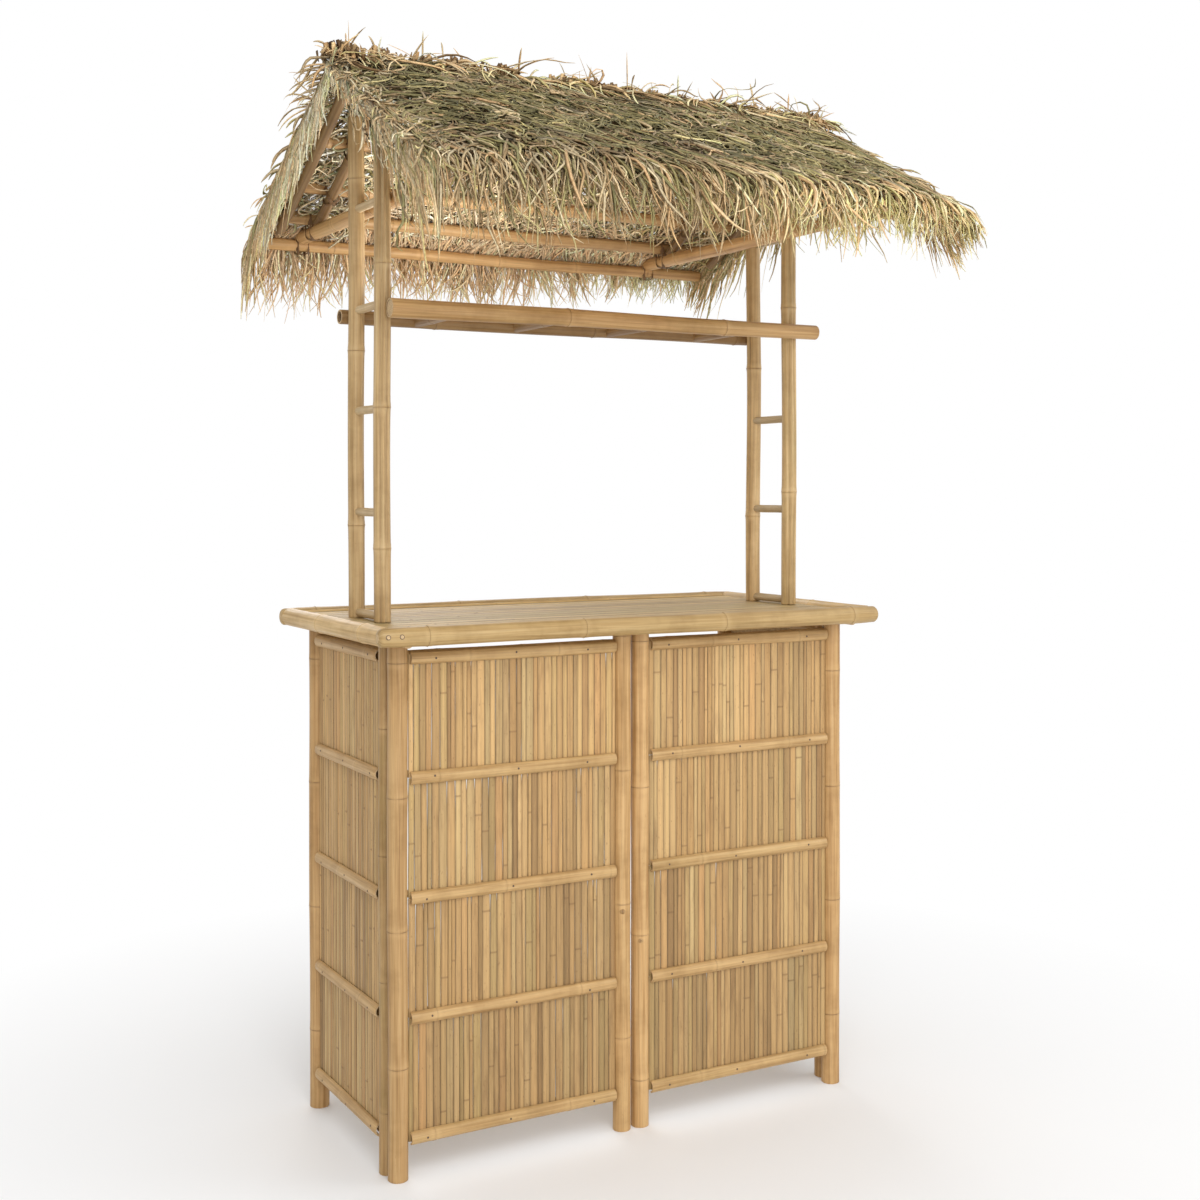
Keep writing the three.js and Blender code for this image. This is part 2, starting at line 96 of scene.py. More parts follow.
class Stock:
    """Bamboo cut for one piece: its points and faces, and what the finish reads at each point."""

    def __init__(self, seed):
        self.dice = random.Random(seed)
        self.points, self.faces, self.kinds = [], [], []
        self.grain, self.joint, self.tone, self.shade = [], [], [], []
        self.level = 1.0

    def ring(self, points, grain, near, tone):
        """Adds points at one distance from a joint, of one tone, and returns their numbers."""
        first = len(self.points)
        self.points += points
        self.grain += grain
        self.joint += [max(0.0, 1 - near / joint_reach)] * len(points)
        self.tone += [tone] * len(points)
        self.shade += [self.level] * len(points)
        return list(range(first, len(self.points)))

    def wall(self, low, high, kind=0):
        """Faces between two rings of as many points, all of one kind or each of its own."""
        for i in range(len(low)):
            j = (i + 1) % len(low)
            self.faces.append((low[i], low[j], high[j], high[i]))
            self.kinds.append(kind[i] if isinstance(kind, list) else kind)

    def lid(self, ring, kind=1, flip=False):
        """One flat face over a ring."""
        self.faces.append(tuple(reversed(ring)) if flip else tuple(ring))
        self.kinds.append(kind)

    def skin(self, rings, kind=0, lid_kind=0):
        """Faces from ring to ring, and a lid over the first and the last."""
        for low, high in zip(rings, rings[1:]):
            self.wall(low, high, kind)
        self.lid(rings[0], lid_kind, flip=True)
        self.lid(rings[-1], lid_kind)


def box_of(node):
    """The low and the high corner of a node's box."""
    low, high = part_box(node)
    return Vector(low), Vector(high)


def middle_of(node):
    """The middle of a node's box."""
    low, high = box_of(node)
    return (low + high) / 2


def half_width(node, axis):
    """Half the size of a node's box along X, Y or Z, given as 0, 1 or 2."""
    low, high = box_of(node)
    return (high[axis] - low[axis]) / 2


def across(axis):
    """Two directions square to an axis and to each other, the first as level as it can be."""
    level = Vector((0, 0, 1)).cross(axis)
    if level.length < 0.01:
        level = Vector((1, 0, 0))
    level.normalize()
    return level, axis.cross(level).normalized()


def own_grain(dice):
    """A place of a piece's own in the grain, so that no two have the same streaks."""
    return Vector([dice.uniform(0, 9) for _ in range(3)])


def bump(distance, width):
    """One at a distance of nought, and softly less away from it."""
    return math.exp(-(distance / width) ** 2)


def along_of(start, end):
    """The start as a vector, the length to the end and the direction there."""
    start, end = Vector(start), Vector(end)
    length = (end - start).length
    return start, length, (end - start) / length


def culm(stock, start, end, radius, pitch, first, sides=28, wall=0.004, bow=0.001, groove=0.0,
         taper=0.0, dome=0.0, swell=0.0006, tone=None, plugged=False, groove_turn=None):
    """A bamboo stem from start to end, with a ring at first and then every pitch, all in metres."""
    dice = stock.dice
    start, length, axis = along_of(start, end)
    u, v = across(axis)
    tone = dice.random() if tone is None else tone
    shift = own_grain(dice)
    bow_turn, bow_phase = dice.uniform(*any_turn), dice.uniform(*any_turn)
    groove_turn = dice.uniform(*any_turn) if groove_turn is None else groove_turn
    oval, oval_turn = dice.uniform(*ovals), dice.uniform(*any_turn)
    joints = []
    z = first
    while z < length - joint_clear:
        if z > joint_clear:
            joints.append(z)
        z += pitch * dice.uniform(*pitch_shares)
    ends = {*end_edge, *(length - edge for edge in end_edge)}
    stops = ends | {round(i * stem_step, 4) for i in range(1, int(length / stem_step) + 1)}
    for at in joints:
        stops = {s for s in stops if abs(s - at) > joint_reach or s in ends}
        stops |= {at + d for d in joint_stops if 0.001 < at + d < length - 0.001}
    stops = sorted(s for s in stops if 0 < s < length)

    def middle(z):
        t = z / length
        sway = bow * math.sin(math.pi * t) * math.sin(bow_phase + 2.2 * math.pi * t)
        return start + axis * z + (u * math.cos(bow_turn) + v * math.sin(bow_turn)) * sway

    def dip(turn):
        aside = (turn - groove_turn + math.pi) % full_turn - math.pi
        return sum(bump(aside + side * dent_aside, dent_width) for side in (-1, 1))

    def reach(z, turn):
        near = min(joints, key=lambda at: abs(at - z)) if joints else -1
        d = z - near
        r = radius * (1 - taper * z / length) - 0.0005
        # At a joint there is a lip over a sunk line, then a low hill, and a step before them.
        lip = swell * bump(d - 0.0009, 0.0014) - 0.45 * swell * bump(d, 0.0007)
        hill = 0.6 * swell * bump(d - 0.006, 0.006)
        step = 0.5 * swell * (1 if d < 0 else 0) * math.exp(d / 0.012)
        waist = 0.012 * radius * math.sin(math.pi * min(1, abs(d) / pitch))
        hollow = groove * dip(turn) * min(1, abs(d) / joint_clear)
        uneven = oval * radius * math.cos(2 * (turn - oval_turn))
        return r + lip + hill + step - waist - hollow + uneven

    def ring(z, scale=1.0, inner=None):
        points, grain = [], []
        for i in range(sides):
            turn = full_turn * i / sides
            r = reach(z, turn) * scale if inner is None else inner
            side = u * math.cos(turn) + v * math.sin(turn)
            points.append(middle(z) + side * r)
            grain.append(Vector((math.cos(turn) * radius, math.sin(turn) * radius, z)) + shift)
        near = min((abs(at - z) for at in joints), default=1)
        corners = stock.ring(points, grain, near, tone)
        # Painted shade darkens the skin in the groove.
        if groove:
            for i, corner in enumerate(corners):
                stock.shade[corner] *= 1 - groove_shade * dip(full_turn * i / sides)
        return corners

    inside = radius - wall
    depth = plug_depth if plugged else min(hollow_depth, length / 4)
    if dome:
        # How far in, as a share of dome, the rounded end has grown to which share of the stem.
        growth = [(0.05, 0.42), (0.16, 0.66), (0.34, 0.83), (0.6, 0.94)]
        lowest = ring(0.0004, inner=radius * dome_flat)
        starts = [ring(max(0.0005, dome * h), scale=s) for h, s in growth]
        finishes = [ring(length - max(0.0005, dome * h), scale=s) for h, s in reversed(growth)]
        highest = ring(length - 0.0004, inner=radius * dome_flat)
        body = [ring(z) for z in stops if dome <= z <= length - dome]
        skins = [lowest, *starts, *body, *finishes, highest]
        for k in range(len(skins) - 1):
            stock.wall(skins[k], skins[k + 1], 1 if k in (0, len(skins) - 2) else 0)
        stock.lid(lowest, flip=True)
        stock.lid(highest)
        return
    first_edge, last_edge = ring(0.0, scale=blunt_share), ring(length, scale=blunt_share)
    body = [ring(z) for z in stops]
    for low, high in zip([first_edge, *body], [*body, last_edge]):
        stock.wall(low, high)
    rims = [ring(0.0, inner=inside), ring(length, inner=inside)]
    floors = [ring(depth, inner=inside * blunt_share), ring(length - depth, inner=inside * blunt_share)]
    stock.wall(rims[0], first_edge, 1)
    stock.wall(floors[0], rims[0], 2)
    stock.lid(floors[0], 1 if plugged else 2, flip=True)
    stock.wall(last_edge, rims[1], 1)
    stock.wall(rims[1], floors[1], 2)
    stock.lid(floors[1], 2)


def pole(node, seed, level, way, pitch, first, *sizes, seat=0.0, wide=1.0, **form):
    """Stock with one culm that fills a node's box along X, Y or Z, given as 0, 1 or 2.

    The first joint is given by its place, or by two places to draw it between.
    """
    low, high = box_of(node)
    start, end = middle_of(node), middle_of(node)
    start[way], end[way] = low[way] + seat, high[way] - seat
    stock = Stock(seed)
    stock.level = level
    first = stock.dice.uniform(*first) if isinstance(first, tuple) else first
    culm(stock, start, end, half_width(node, 0 if way else 2) * wide, pitch, first, *sizes, **form)
    return stock


def build(name, stock, finishes, crease=38):
    """Turns stock into a shaded object that carries its grain, joints and tone for the finish."""
    mesh = bpy.data.meshes.new(name)
    mesh.from_pydata([tuple(p) for p in stock.points], [], stock.faces)
    for key, kind, values in (
        ("grain", "FLOAT_VECTOR", [c for g in stock.grain for c in g]),
        ("joint", "FLOAT", stock.joint),
        ("tone", "FLOAT", stock.tone),
        ("shade", "FLOAT", stock.shade),
    ):
        layer = mesh.attributes.new(key, kind, "POINT")
        layer.data.foreach_set("vector" if kind == "FLOAT_VECTOR" else "value", values)
    for finish in finishes:
        mesh.materials.append(finish)
    mesh.polygons.foreach_set("material_index", stock.kinds)
    mesh.polygons.foreach_set("use_smooth", [True] * len(mesh.polygons))
    mesh.set_sharp_from_angle(angle=math.radians(crease))
    mesh.validate()
    return stand(name, mesh)


def finish_nodes(name):
    """A material, its tree and its principled shader."""
    material = bpy.data.materials.new(name)
    material.use_nodes = True
    return material, material.node_tree, material.node_tree.nodes["Principled BSDF"]


def streaks(tree, scale, detail=3.0, rough=0.55):
    """Noise drawn out by scale along each axis of the grain."""
    grain = tree.nodes.new("ShaderNodeAttribute")
    grain.attribute_name = "grain"
    spread = tree.nodes.new("ShaderNodeMapping")
    spread.inputs["Scale"].default_value = scale
    cloud = tree.nodes.new("ShaderNodeTexNoise")
    cloud.inputs["Scale"].default_value = 1
    cloud.inputs["Detail"].default_value = detail
    cloud.inputs["Roughness"].default_value = rough
    tree.links.new(grain.outputs["Vector"], spread.inputs["Vector"])
    tree.links.new(spread.outputs["Vector"], cloud.inputs["Vector"])
    return cloud.outputs["Fac"]


def value_of(tree, key):
    """The number that a piece carries under this name."""
    node = tree.nodes.new("ShaderNodeAttribute")
    node.attribute_name = key
    return node.outputs["Fac"]


def ramp(tree, value, stops):
    """Colours or greys along a value, from a list of (place, colour)."""
    node = tree.nodes.new("ShaderNodeValToRGB")
    bar = node.color_ramp
    while len(bar.elements) < len(stops):
        bar.elements.new(0.5)
    for element, (place, colour) in zip(bar.elements, stops):
        element.position = place
        element.color = (*colour, 1) if isinstance(colour, tuple) else (colour, colour, colour, 1)
    tree.links.new(value, node.inputs["Fac"])
    return node.outputs["Color"]


def blend(tree, mode, share, under, over):
    """Mixes two colours. Each input is a socket, a number or a colour."""
    node = tree.nodes.new("ShaderNodeMix")
    node.data_type = "RGBA"
    node.blend_type = mode
    for key, value in (("Factor", share), ("A", under), ("B", over)):
        socket = [s for s in node.inputs if s.name == key and s.enabled][0]
        if isinstance(value, bpy.types.NodeSocket):
            tree.links.new(value, socket)
        else:
            socket.default_value = (*value, 1) if isinstance(value, tuple) else value
    return [s for s in node.outputs if s.enabled][0]


def relief(tree, shader, height, strength, distance):
    """Presses a height into the surface."""
    node = tree.nodes.new("ShaderNodeBump")
    node.inputs["Strength"].default_value = strength
    node.inputs["Distance"].default_value = distance
    tree.links.new(height, node.inputs["Height"])
    tree.links.new(node.outputs["Normal"], shader.inputs["Normal"])


def wax(tree, shader, colour, bands, rough, fibres, strength):
    """The last steps of a skin: how light the piece is, painted shade included, and a dull gloss over its
    fibres.
    """
    colour = blend(tree, "MULTIPLY", 1.0, colour, value_of(tree, "shade"))
    tree.links.new(colour, shader.inputs["Base Color"])
    shader.inputs["Specular IOR Level"].default_value = 0.35
    tree.links.new(ramp(tree, bands, [(0.3, rough[0]), (0.7, rough[1])]), shader.inputs["Roughness"])
    relief(tree, shader, fibres, strength, 0.0004)


def bamboo_skin(name, pale, middle, deep, green, joint_share=0.7, joint_dark=(0.16, 0.085, 0.035)):
    """The waxy outer skin of a culm: long streaks, blotches, a dark line at each joint, freckles."""
    material, tree, shader = finish_nodes(name)
    bands = streaks(tree, (150, 150, 3.5))
    fibres = streaks(tree, (900, 900, 14), 2)
    blotches = streaks(tree, (16, 16, 5), 4, 0.6)
    freckles = streaks(tree, (420, 420, 160), 1)
    colour = ramp(tree, bands, [(0.3, deep), (0.5, middle), (0.72, pale)])
    tones = ramp(tree, value_of(tree, "tone"), [(0.0, 0.0), (0.62, 0.12), (1.0, 0.55)])
    patches = ramp(tree, blotches, [(0.4, 0.15), (0.66, 0.85)])
    colour = blend(tree, "MIX", blend(tree, "MULTIPLY", 1.0, tones, patches), colour, green)
    colour = blend(tree, "MULTIPLY", 0.5, colour, ramp(tree, fibres, [(0.25, 0.62), (0.6, 1.0)]))
    colour = blend(tree, "MIX", ramp(tree, freckles, [(0.7, 0.0), (0.76, 0.45)]), colour, deep)
    joint = value_of(tree, "joint")
    colour = blend(tree, "MIX", ramp(tree, joint, [(0.5, 0.0), (0.84, 0.3), (0.9, 0.14)]), colour, pale)
    line = ramp(tree, joint, [(0.95, 0.0), (0.985, joint_share)])
    worn = ramp(tree, streaks(tree, (60, 60, 30), 2), [(0.35, 0.25), (0.6, 1.0)])
    colour = blend(tree, "MIX", blend(tree, "MULTIPLY", 1.0, line, worn), colour, joint_dark)
    stains = ramp(tree, streaks(tree, (9, 9, 11), 4, 0.65),
                  [(0.3, (0.74, 0.70, 0.62)), (0.55, (1.0, 1.0, 1.0))])
    colour = blend(tree, "MULTIPLY", 0.8, colour, stains)
    wax(tree, shader, colour, bands, (0.55, 0.40), fibres, 0.25)
    return material


def sawn_bamboo(name, pale, deep):
    """The cut wall of a culm: pale wood dotted with the ends of its fibres."""
    material, tree, shader = finish_nodes(name)
    dots = streaks(tree, (700, 700, 700), 2, 0.6)
    rings = streaks(tree, (60, 60, 60), 2)
    colour = ramp(tree, dots, [(0.35, deep), (0.55, pale)])
    colour = blend(tree, "MULTIPLY", 0.4, colour, ramp(tree, rings, [(0.3, 0.6), (0.6, 1.0)]))
    tree.links.new(colour, shader.inputs["Base Color"])
    shader.inputs["Roughness"].default_value = 0.85
    relief(tree, shader, dots, 0.4, 0.0005)
    return material


post_skin = bamboo_skin(
    "post_skin", (0.68, 0.44, 0.20), (0.57, 0.34, 0.14), (0.41, 0.225, 0.08), (0.42, 0.33, 0.12))
cut_end = sawn_bamboo("cut_end", (0.66, 0.48, 0.27), (0.42, 0.27, 0.13))
# The hollow of a cut end gets a dark finish: painted shade inside the culm. The same finish gives a branch
# scar its dark heart.
hollow_shade_and_scar_heart = sawn_bamboo("hollow_shade_and_scar_heart", (0.30, 0.19, 0.09), (0.15, 0.085, 0.04))
for number, (node, (first, pitch, level)) in enumerate(post_joints.items()):
    stock = pole(node, 11 + number, level, 2, pitch, first, post_sides, post_wall, post_bow)
    post = build(node + "_culm", stock, [post_skin, cut_end, hollow_shade_and_scar_heart])
    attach(post, "root")
    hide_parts(node)

# Branch scars on the two middle posts. A branch broke off at a joint of each, and left a pale round
# mark with a dark heart.
scar_out = Vector((-0.42, -0.91, 0)).normalized()
scar_heights = {"post_middle_left": 0.470, "post_middle_right": 0.402}
scar_level, scar_sink, scar_crease = 0.75, 0.001, 60
scar_parts = {"rim": (post_skin, 0.0062, 0.0022), "heart": (hollow_shade_and_scar_heart, 0.0028, 0.0030)}
# The rings of a nail head: their share of its radius, and of its rise.
head_rings = ((1.0, 0.25), (0.82, 0.7), (0.45, 1.0))
head_sides, head_sink = 10, 0.001


def nail(stock, place, out, radius=0.0022, rise=0.0007):
    """A small domed head, pushed into the skin it holds."""
    u, v = across(out)
    turns = [full_turn * k / head_sides for k in range(head_sides)]
    rings = []
    for share, lift in ((1.0, -head_sink), *((share, part * rise) for share, part in head_rings)):
        points = [place + (u * math.cos(t) + v * math.sin(t)) * radius * share + out * lift for t in turns]
        rings.append(stock.ring(points, [Vector(p) for p in points], 1, 0.5))
    stock.skin(rings)


for number, (node, height) in enumerate(scar_heights.items()):
    spot = middle_of(node)
    spot.z = box_of(node)[0].z + height
    spot += scar_out * (half_width(node, 0) - scar_sink)
    for part, (finish, radius, rise) in scar_parts.items():
        stock = Stock(60 + number)
        stock.level = scar_level
        nail(stock, spot, scar_out, radius, rise)
        mark = build(f"{node}_scar_{part}", stock, [finish], scar_crease)
        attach(mark, "root")

# Panels. Strips of split bamboo stand side by side in four rows. They are nailed between half-round
# rails on the outside and slim battens on the inside, and the battens are set into the posts.
strip_pitch = 0.0132
strip_thickness = 0.0042
strip_gap = 0.0005
strip_gap_shares = (0.1, 0.1, 0.2, 0.2, 0.3, 0.4, 1.4)
strip_width_shares = (0.62, 1.45)
strip_sinks = (0.0002, 0.0010)
strip_crown = 0.0017
strip_back_share = 0.9
# The edges and shoulders of each strip are painted darker: painted shade in the gaps between strips.
strip_edge_shade, strip_shoulder_shade = 0.42, 0.9
strip_joint_share, strip_joint_margin = 0.3, 0.03
strip_levels, odd_levels = (0.90, 1.10), (1, 1, 1, 1, 1, 1, 1, 0.82)
strip_lean, strip_pinches, pinch_reach = 0.0007, (0, 0, 0, 0, 0.16), 0.03
row_gap = 0.0005
mat_end_gap = -0.001
mat_edge = 0.007
batten_radius, batten_wall, batten_bow, batten_sides = 0.008, 0.0025, 0.0006, 16
batten_back, batten_rise, batten_seat = 0.0048, 0.007, 0.012
batten_pitch, batten_firsts = 0.19, (0.03, 0.15)
rail_wall, rail_pitch, rail_firsts = 0.0035, 0.27, (0.04, 0.26)
rail_rows = 5
nail_shares, nail_stray, nail_drop, rail_curve = (0.09, 0.48, 0.87), 0.025, 0.003, 0.013
strip_crease = 50
front, left, right = Vector((0, -1, 0)), Vector((-1, 0, 0)), Vector((1, 0, 0))
upward = Vector((0, 0, 1))
panels = {
    # The posts at its start and end, the way that it faces, and how light each row is, from below: painted
    # shade, darker lower down.
    "front_left": ("post_front_left", "post_middle_left", front, (0.90, 0.97, 1.05, 1.12)),
    "front_right": ("post_middle_right", "post_front_right", front, (0.94, 1.01, 1.07, 1.12)),
    "side_left": ("post_side_left_front", "post_side_left_back", left, (1.06, 1.10, 1.13, 1.16)),
    "side_right": ("post_side_right_front", "post_side_right_back", right, (1.0, 1.0, 1.0, 1.0)),
}


def strip(stock, start, end, face, width, thickness, crown, tone, joint=None, lean=0.0, pinch=0.0):
    """A split strip whose crowned skin looks along face. Its edges were split, and slope inwards."""
    dice = stock.dice
    start, length, axis = along_of(start, end)
    side = axis.cross(face)
    shift = own_grain(dice)
    stops = {0.0, 0.0015, length - 0.0015, length}
    stops |= {length * k / 6 for k in range(1, 6)}
    if joint is not None:
        stops |= {joint + d for d in (-0.012, -0.005, -0.0015, 0, 0.0012, 0.004, 0.012)}
    places = (-1, -0.8, -0.42, 0, 0.42, 0.8, 1)
    back_places = (1, 0.3, -0.3, -1)
    wave, phase = dice.uniform(0.0, 0.00035), dice.uniform(*any_turn)
    rings = []
    for z in sorted(s for s in stops if 0 <= s <= length):
        near = 1 if joint is None else abs(z - joint)
        swell = 0.0007 * bump(near, 0.0035) - 0.0005 * bump(near, 0.0012)
        half = width / 2 * (1 - pinch * max(0.0, 1 - (length - z) / pinch_reach))
        half += wave * math.sin(phase + 9 * z / length)
        ease = 0.0004 if z in (0.0, length) else 0.0
        mid = start + axis * z + side * (lean * (z / length - 0.5))
        points = [mid + side * half * p + face * (swell - ease - crown * abs(p) ** 3) for p in places]
        points += [mid + side * half * p * strip_back_share - face * thickness for p in back_places]
        grain = [Vector((half * p, 0.0, z)) + shift for p in places]
        grain += [Vector((half * p, -thickness, z)) + shift for p in back_places]
        rings.append(stock.ring(points, grain, near, tone))
        # Painted shade darkens each strip's edges and shoulders, where the gaps between strips fall.
        for i, gap_shade in ((0, strip_edge_shade), (1, strip_shoulder_shade), (5, strip_shoulder_shade),
                        (6, strip_edge_shade)):
            stock.shade[rings[-1][i]] *= gap_shade
    stock.skin(rings, [0] * (len(places) - 1) + [1] * (len(back_places) + 1), 1)


def half_culm(stock, start, end, face, width, depth, wall, joints, bow=0.0008, tone=None):
    """A culm split in two, its flat side on the mat and its round side along face."""
    dice = stock.dice
    start, length, axis = along_of(start, end)
    side = axis.cross(face)
    tone = dice.random() if tone is None else tone
    shift = own_grain(dice)
    stops = {0.0, 0.0012, length - 0.0012, length} | {length * k / 10 for k in range(1, 10)}
    for at in joints:
        stops |= {at + d for d in (-0.014, -0.006, -0.002, 0, 0.0015, 0.005, 0.014)}
    turns = [math.pi * (k / 12 - 0.5) for k in range(13)]
    lean = dice.uniform(-1, 1)
    skins = []
    for z in sorted(s for s in stops if 0 <= s <= length):
        near = min(abs(at - z) for at in joints)
        swell = 0.0009 * bump(near, 0.004) - 0.0006 * bump(near, 0.0013)
        ease = 0.0007 if z in (0.0, length) else 0.0
        mid = start + axis * z + side * (bow * lean * math.sin(math.pi * z / length))
        outer = [mid + side * math.sin(t) * (width / 2 + swell - ease)
                 + face * math.cos(t) * (depth + swell - ease) for t in turns]
        inner = [mid + side * math.sin(t) * (width / 2 - wall) + face * math.cos(t) * (depth - wall)
                 for t in reversed(turns)]
        grain = [Vector((math.sin(t) * width / 2, math.cos(t) * depth, z)) + shift for t in turns]
        grain += [Vector((math.sin(t) * width / 3, math.cos(t) * depth / 2, z)) + shift for t in turns]
        skins.append(stock.ring(outer + inner, grain, near, tone))
    count = len(turns)
    for low, high in zip(skins, skins[1:]):
        stock.wall(low, high, [0] * (count - 1) + [1] * (count + 1))
    for skin, flip in ((skins[0], True), (skins[-1], False)):
        for i in range(count - 1):
            quad = [skin[i], skin[i + 1], skin[2 * count - 2 - i], skin[2 * count - 1 - i]]
            stock.lid(quad, flip=flip)


def split_skin(name, colours, deep, contrast=0.5):
    """Split strips: each takes its colour from its tone, and streaks run along it."""
    material, tree, shader = finish_nodes(name)
    bands = streaks(tree, (260, 260, 3.2), 3, 0.6)
    fibres = streaks(tree, (1100, 1100, 16), 2)
    blotches = streaks(tree, (45, 45, 9), 3, 0.6)
    freckles = streaks(tree, (380, 380, 120), 1)
    step = 1 / (len(colours) - 1)
    colour = ramp(tree, value_of(tree, "tone"), [(i * step, c) for i, c in enumerate(colours)])
    shades = ramp(tree, bands, [(0.3, 0.52), (0.5, 0.88), (0.7, 1.0)])
    colour = blend(tree, "MULTIPLY", contrast, colour, shades)
    colour = blend(tree, "MIX", ramp(tree, blotches, [(0.52, 0.0), (0.75, 0.5)]), colour, deep)
    colour = blend(tree, "MULTIPLY", 0.55, colour, ramp(tree, fibres, [(0.25, 0.6), (0.6, 1.0)]))
    colour = blend(tree, "MIX", ramp(tree, freckles, [(0.69, 0.0), (0.75, 0.6)]), colour, deep)
    joint = value_of(tree, "joint")
    colour = blend(tree, "MIX", ramp(tree, joint, [(0.9, 0.0), (0.98, 0.6)]), colour, deep)
    wax(tree, shader, colour, bands, (0.62, 0.48), fibres, 0.3)
    return material


strip_skin = split_skin("strip_skin", [
    (0.58, 0.365, 0.155), (0.51, 0.31, 0.125), (0.62, 0.405, 0.18), (0.47, 0.28, 0.11),
    (0.56, 0.36, 0.15), (0.49, 0.33, 0.135), (0.58, 0.335, 0.135), (0.36, 0.22, 0.09),
    (0.62, 0.43, 0.195), (0.53, 0.315, 0.125)],
    (0.23, 0.125, 0.05))
split_side = sawn_bamboo("split_side", (0.62, 0.45, 0.24), (0.36, 0.23, 0.11))
rail_skin = bamboo_skin(
    "rail_skin", (0.64, 0.43, 0.20), (0.54, 0.34, 0.145), (0.40, 0.235, 0.09), (0.44, 0.33, 0.13), 0.3)
nail_finish, tree, shader = finish_nodes("nail_dark")
rust = streaks(tree, (900, 900, 900), 2)
tree.links.new(ramp(tree, rust, [(0.35, (0.05, 0.035, 0.025)), (0.65, (0.14, 0.08, 0.045))]),
               shader.inputs["Base Color"])
shader.inputs["Roughness"].default_value = 0.6
for number, (panel, (first_post, last_post, out, row_shades)) in enumerate(panels.items()):
    start, end = middle_of(first_post), middle_of(last_post)
    start.z = end.z = 0
    span = (end - start).length
    along = (end - start) / span
    first_edge, last_edge = half_width(first_post, 0), span - half_width(last_post, 0)
    low, high = box_of("slats_" + panel)
    face = max(low.dot(out), high.dot(out)) - start.dot(out)
    rails = [middle_of(f"rail_{panel}_{row + 1}").z for row in range(rail_rows)]
    mat_start, mat_end = first_edge + mat_end_gap, last_edge - mat_end_gap
    mat = Stock(100 + number)
    dice = mat.dice
    count = round((mat_end - mat_start) / strip_pitch)
    # Lower rows are painted darker: painted shade from the light above.
    for row, row_shade in enumerate(row_shades):
        foot = rails[row] + (row_gap if row else -mat_edge)
        top = rails[row + 1] - (row_gap if row < rail_rows - 2 else -mat_edge)
        shares = [dice.uniform(*strip_width_shares) for _ in range(count)]
        scale = (mat_end - mat_start) / sum(shares)
        edge = mat_start
        for share in shares:
            width = share * scale - strip_gap * dice.choice(strip_gap_shares)
            middle = edge + share * scale / 2
            edge += share * scale
            place = start + along * middle + out * (face - dice.uniform(*strip_sinks))
            joint = None
            if dice.random() < strip_joint_share:
                joint = dice.uniform(strip_joint_margin, top - foot - strip_joint_margin)
            mat.level = row_shade * dice.uniform(*strip_levels) * dice.choice(odd_levels)
            strip(mat, place + upward * foot, place + upward * top, out, width, strip_thickness,
                  strip_crown * dice.uniform(0.7, 1.2), dice.random(), joint,
                  dice.uniform(-strip_lean, strip_lean), dice.choice(strip_pinches))
    slats = build(f"slats_{panel}_strips", mat, [strip_skin, split_side], strip_crease)
    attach(slats, "root")
    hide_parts("slats_" + panel)
    inner = Stock(140 + number)
    for height in rails:
        lift = upward * (height + batten_rise) - out * batten_back
        culm(inner, start + along * (first_edge - batten_seat) + lift,
             start + along * (last_edge + batten_seat) + lift, batten_radius, batten_pitch,
             inner.dice.uniform(*batten_firsts), batten_sides, batten_wall, batten_bow)
    battens = build(f"battens_{panel}", inner, [rail_skin, cut_end, hollow_shade_and_scar_heart])
    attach(battens, "root")
    heads = Stock(160 + number)
    for row in range(rail_rows):
        node = f"rail_{panel}_{row + 1}"
        low, high = box_of(node)
        base = start + out * (min(low.dot(out), high.dot(out)) - start.dot(out))
        base += upward * (low.z + high.z) / 2
        reach = sorted((low.dot(along) - start.dot(along), high.dot(along) - start.dot(along)))
        depth = abs((high - low).dot(out))
        stock = Stock(200 + 10 * number + row)
        joints = [stock.dice.uniform(*rail_firsts) + k * rail_pitch for k in range(2)]
        half_culm(stock, base + along * reach[0], base + along * reach[1], out, high.z - low.z, depth,
                  rail_wall, joints)
        rail = build(node + "_culm", stock, [rail_skin, cut_end])
        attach(rail, "root")
        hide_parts(node)
        for share in nail_shares:
            share += heads.dice.uniform(-nail_stray, nail_stray)
            drop = heads.dice.uniform(-nail_drop, nail_drop)
            place = base + along * (reach[0] + (reach[1] - reach[0]) * share) + upward * drop
            nail(heads, place + out * (depth * math.sqrt(1 - (drop / rail_curve) ** 2)), out)
    nails = build("nails_" + panel, heads, [nail_finish])
    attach(nails, "root")

# Counter. Two long poles with rounded ends and two shorter ones between them frame a bed of split
# strips, which lie the length of the counter on two bearers and are nailed down.
counter_skin = bamboo_skin(
    "counter_skin", (0.68, 0.48, 0.23), (0.60, 0.40, 0.17), (0.46, 0.285, 0.105), (0.46, 0.37, 0.15), 0.25)
end_round = 0.013
side_seat = 0.006
counter_poles = {
    # The seed, the axis it runs along, how light it is, and the pitch and the first of its joints. The long
    # poles are painted darker and the side poles lighter: painted light and shade.
    "counter_pole_front": (300, 0, 0.80, 0.348, 0.102), "counter_pole_back": (301, 0, 0.80, 0.348, 0.08),
    "counter_pole_left": (310, 1, 1.1, 0.25, 0.10), "counter_pole_right": (311, 1, 1.1, 0.25, 0.2),
}
pole_sides, pole_wall = 32, 0.005
long_bow, long_swell, side_bow, side_swell = 0.0012, 0.0012, 0.0008, 0.0009
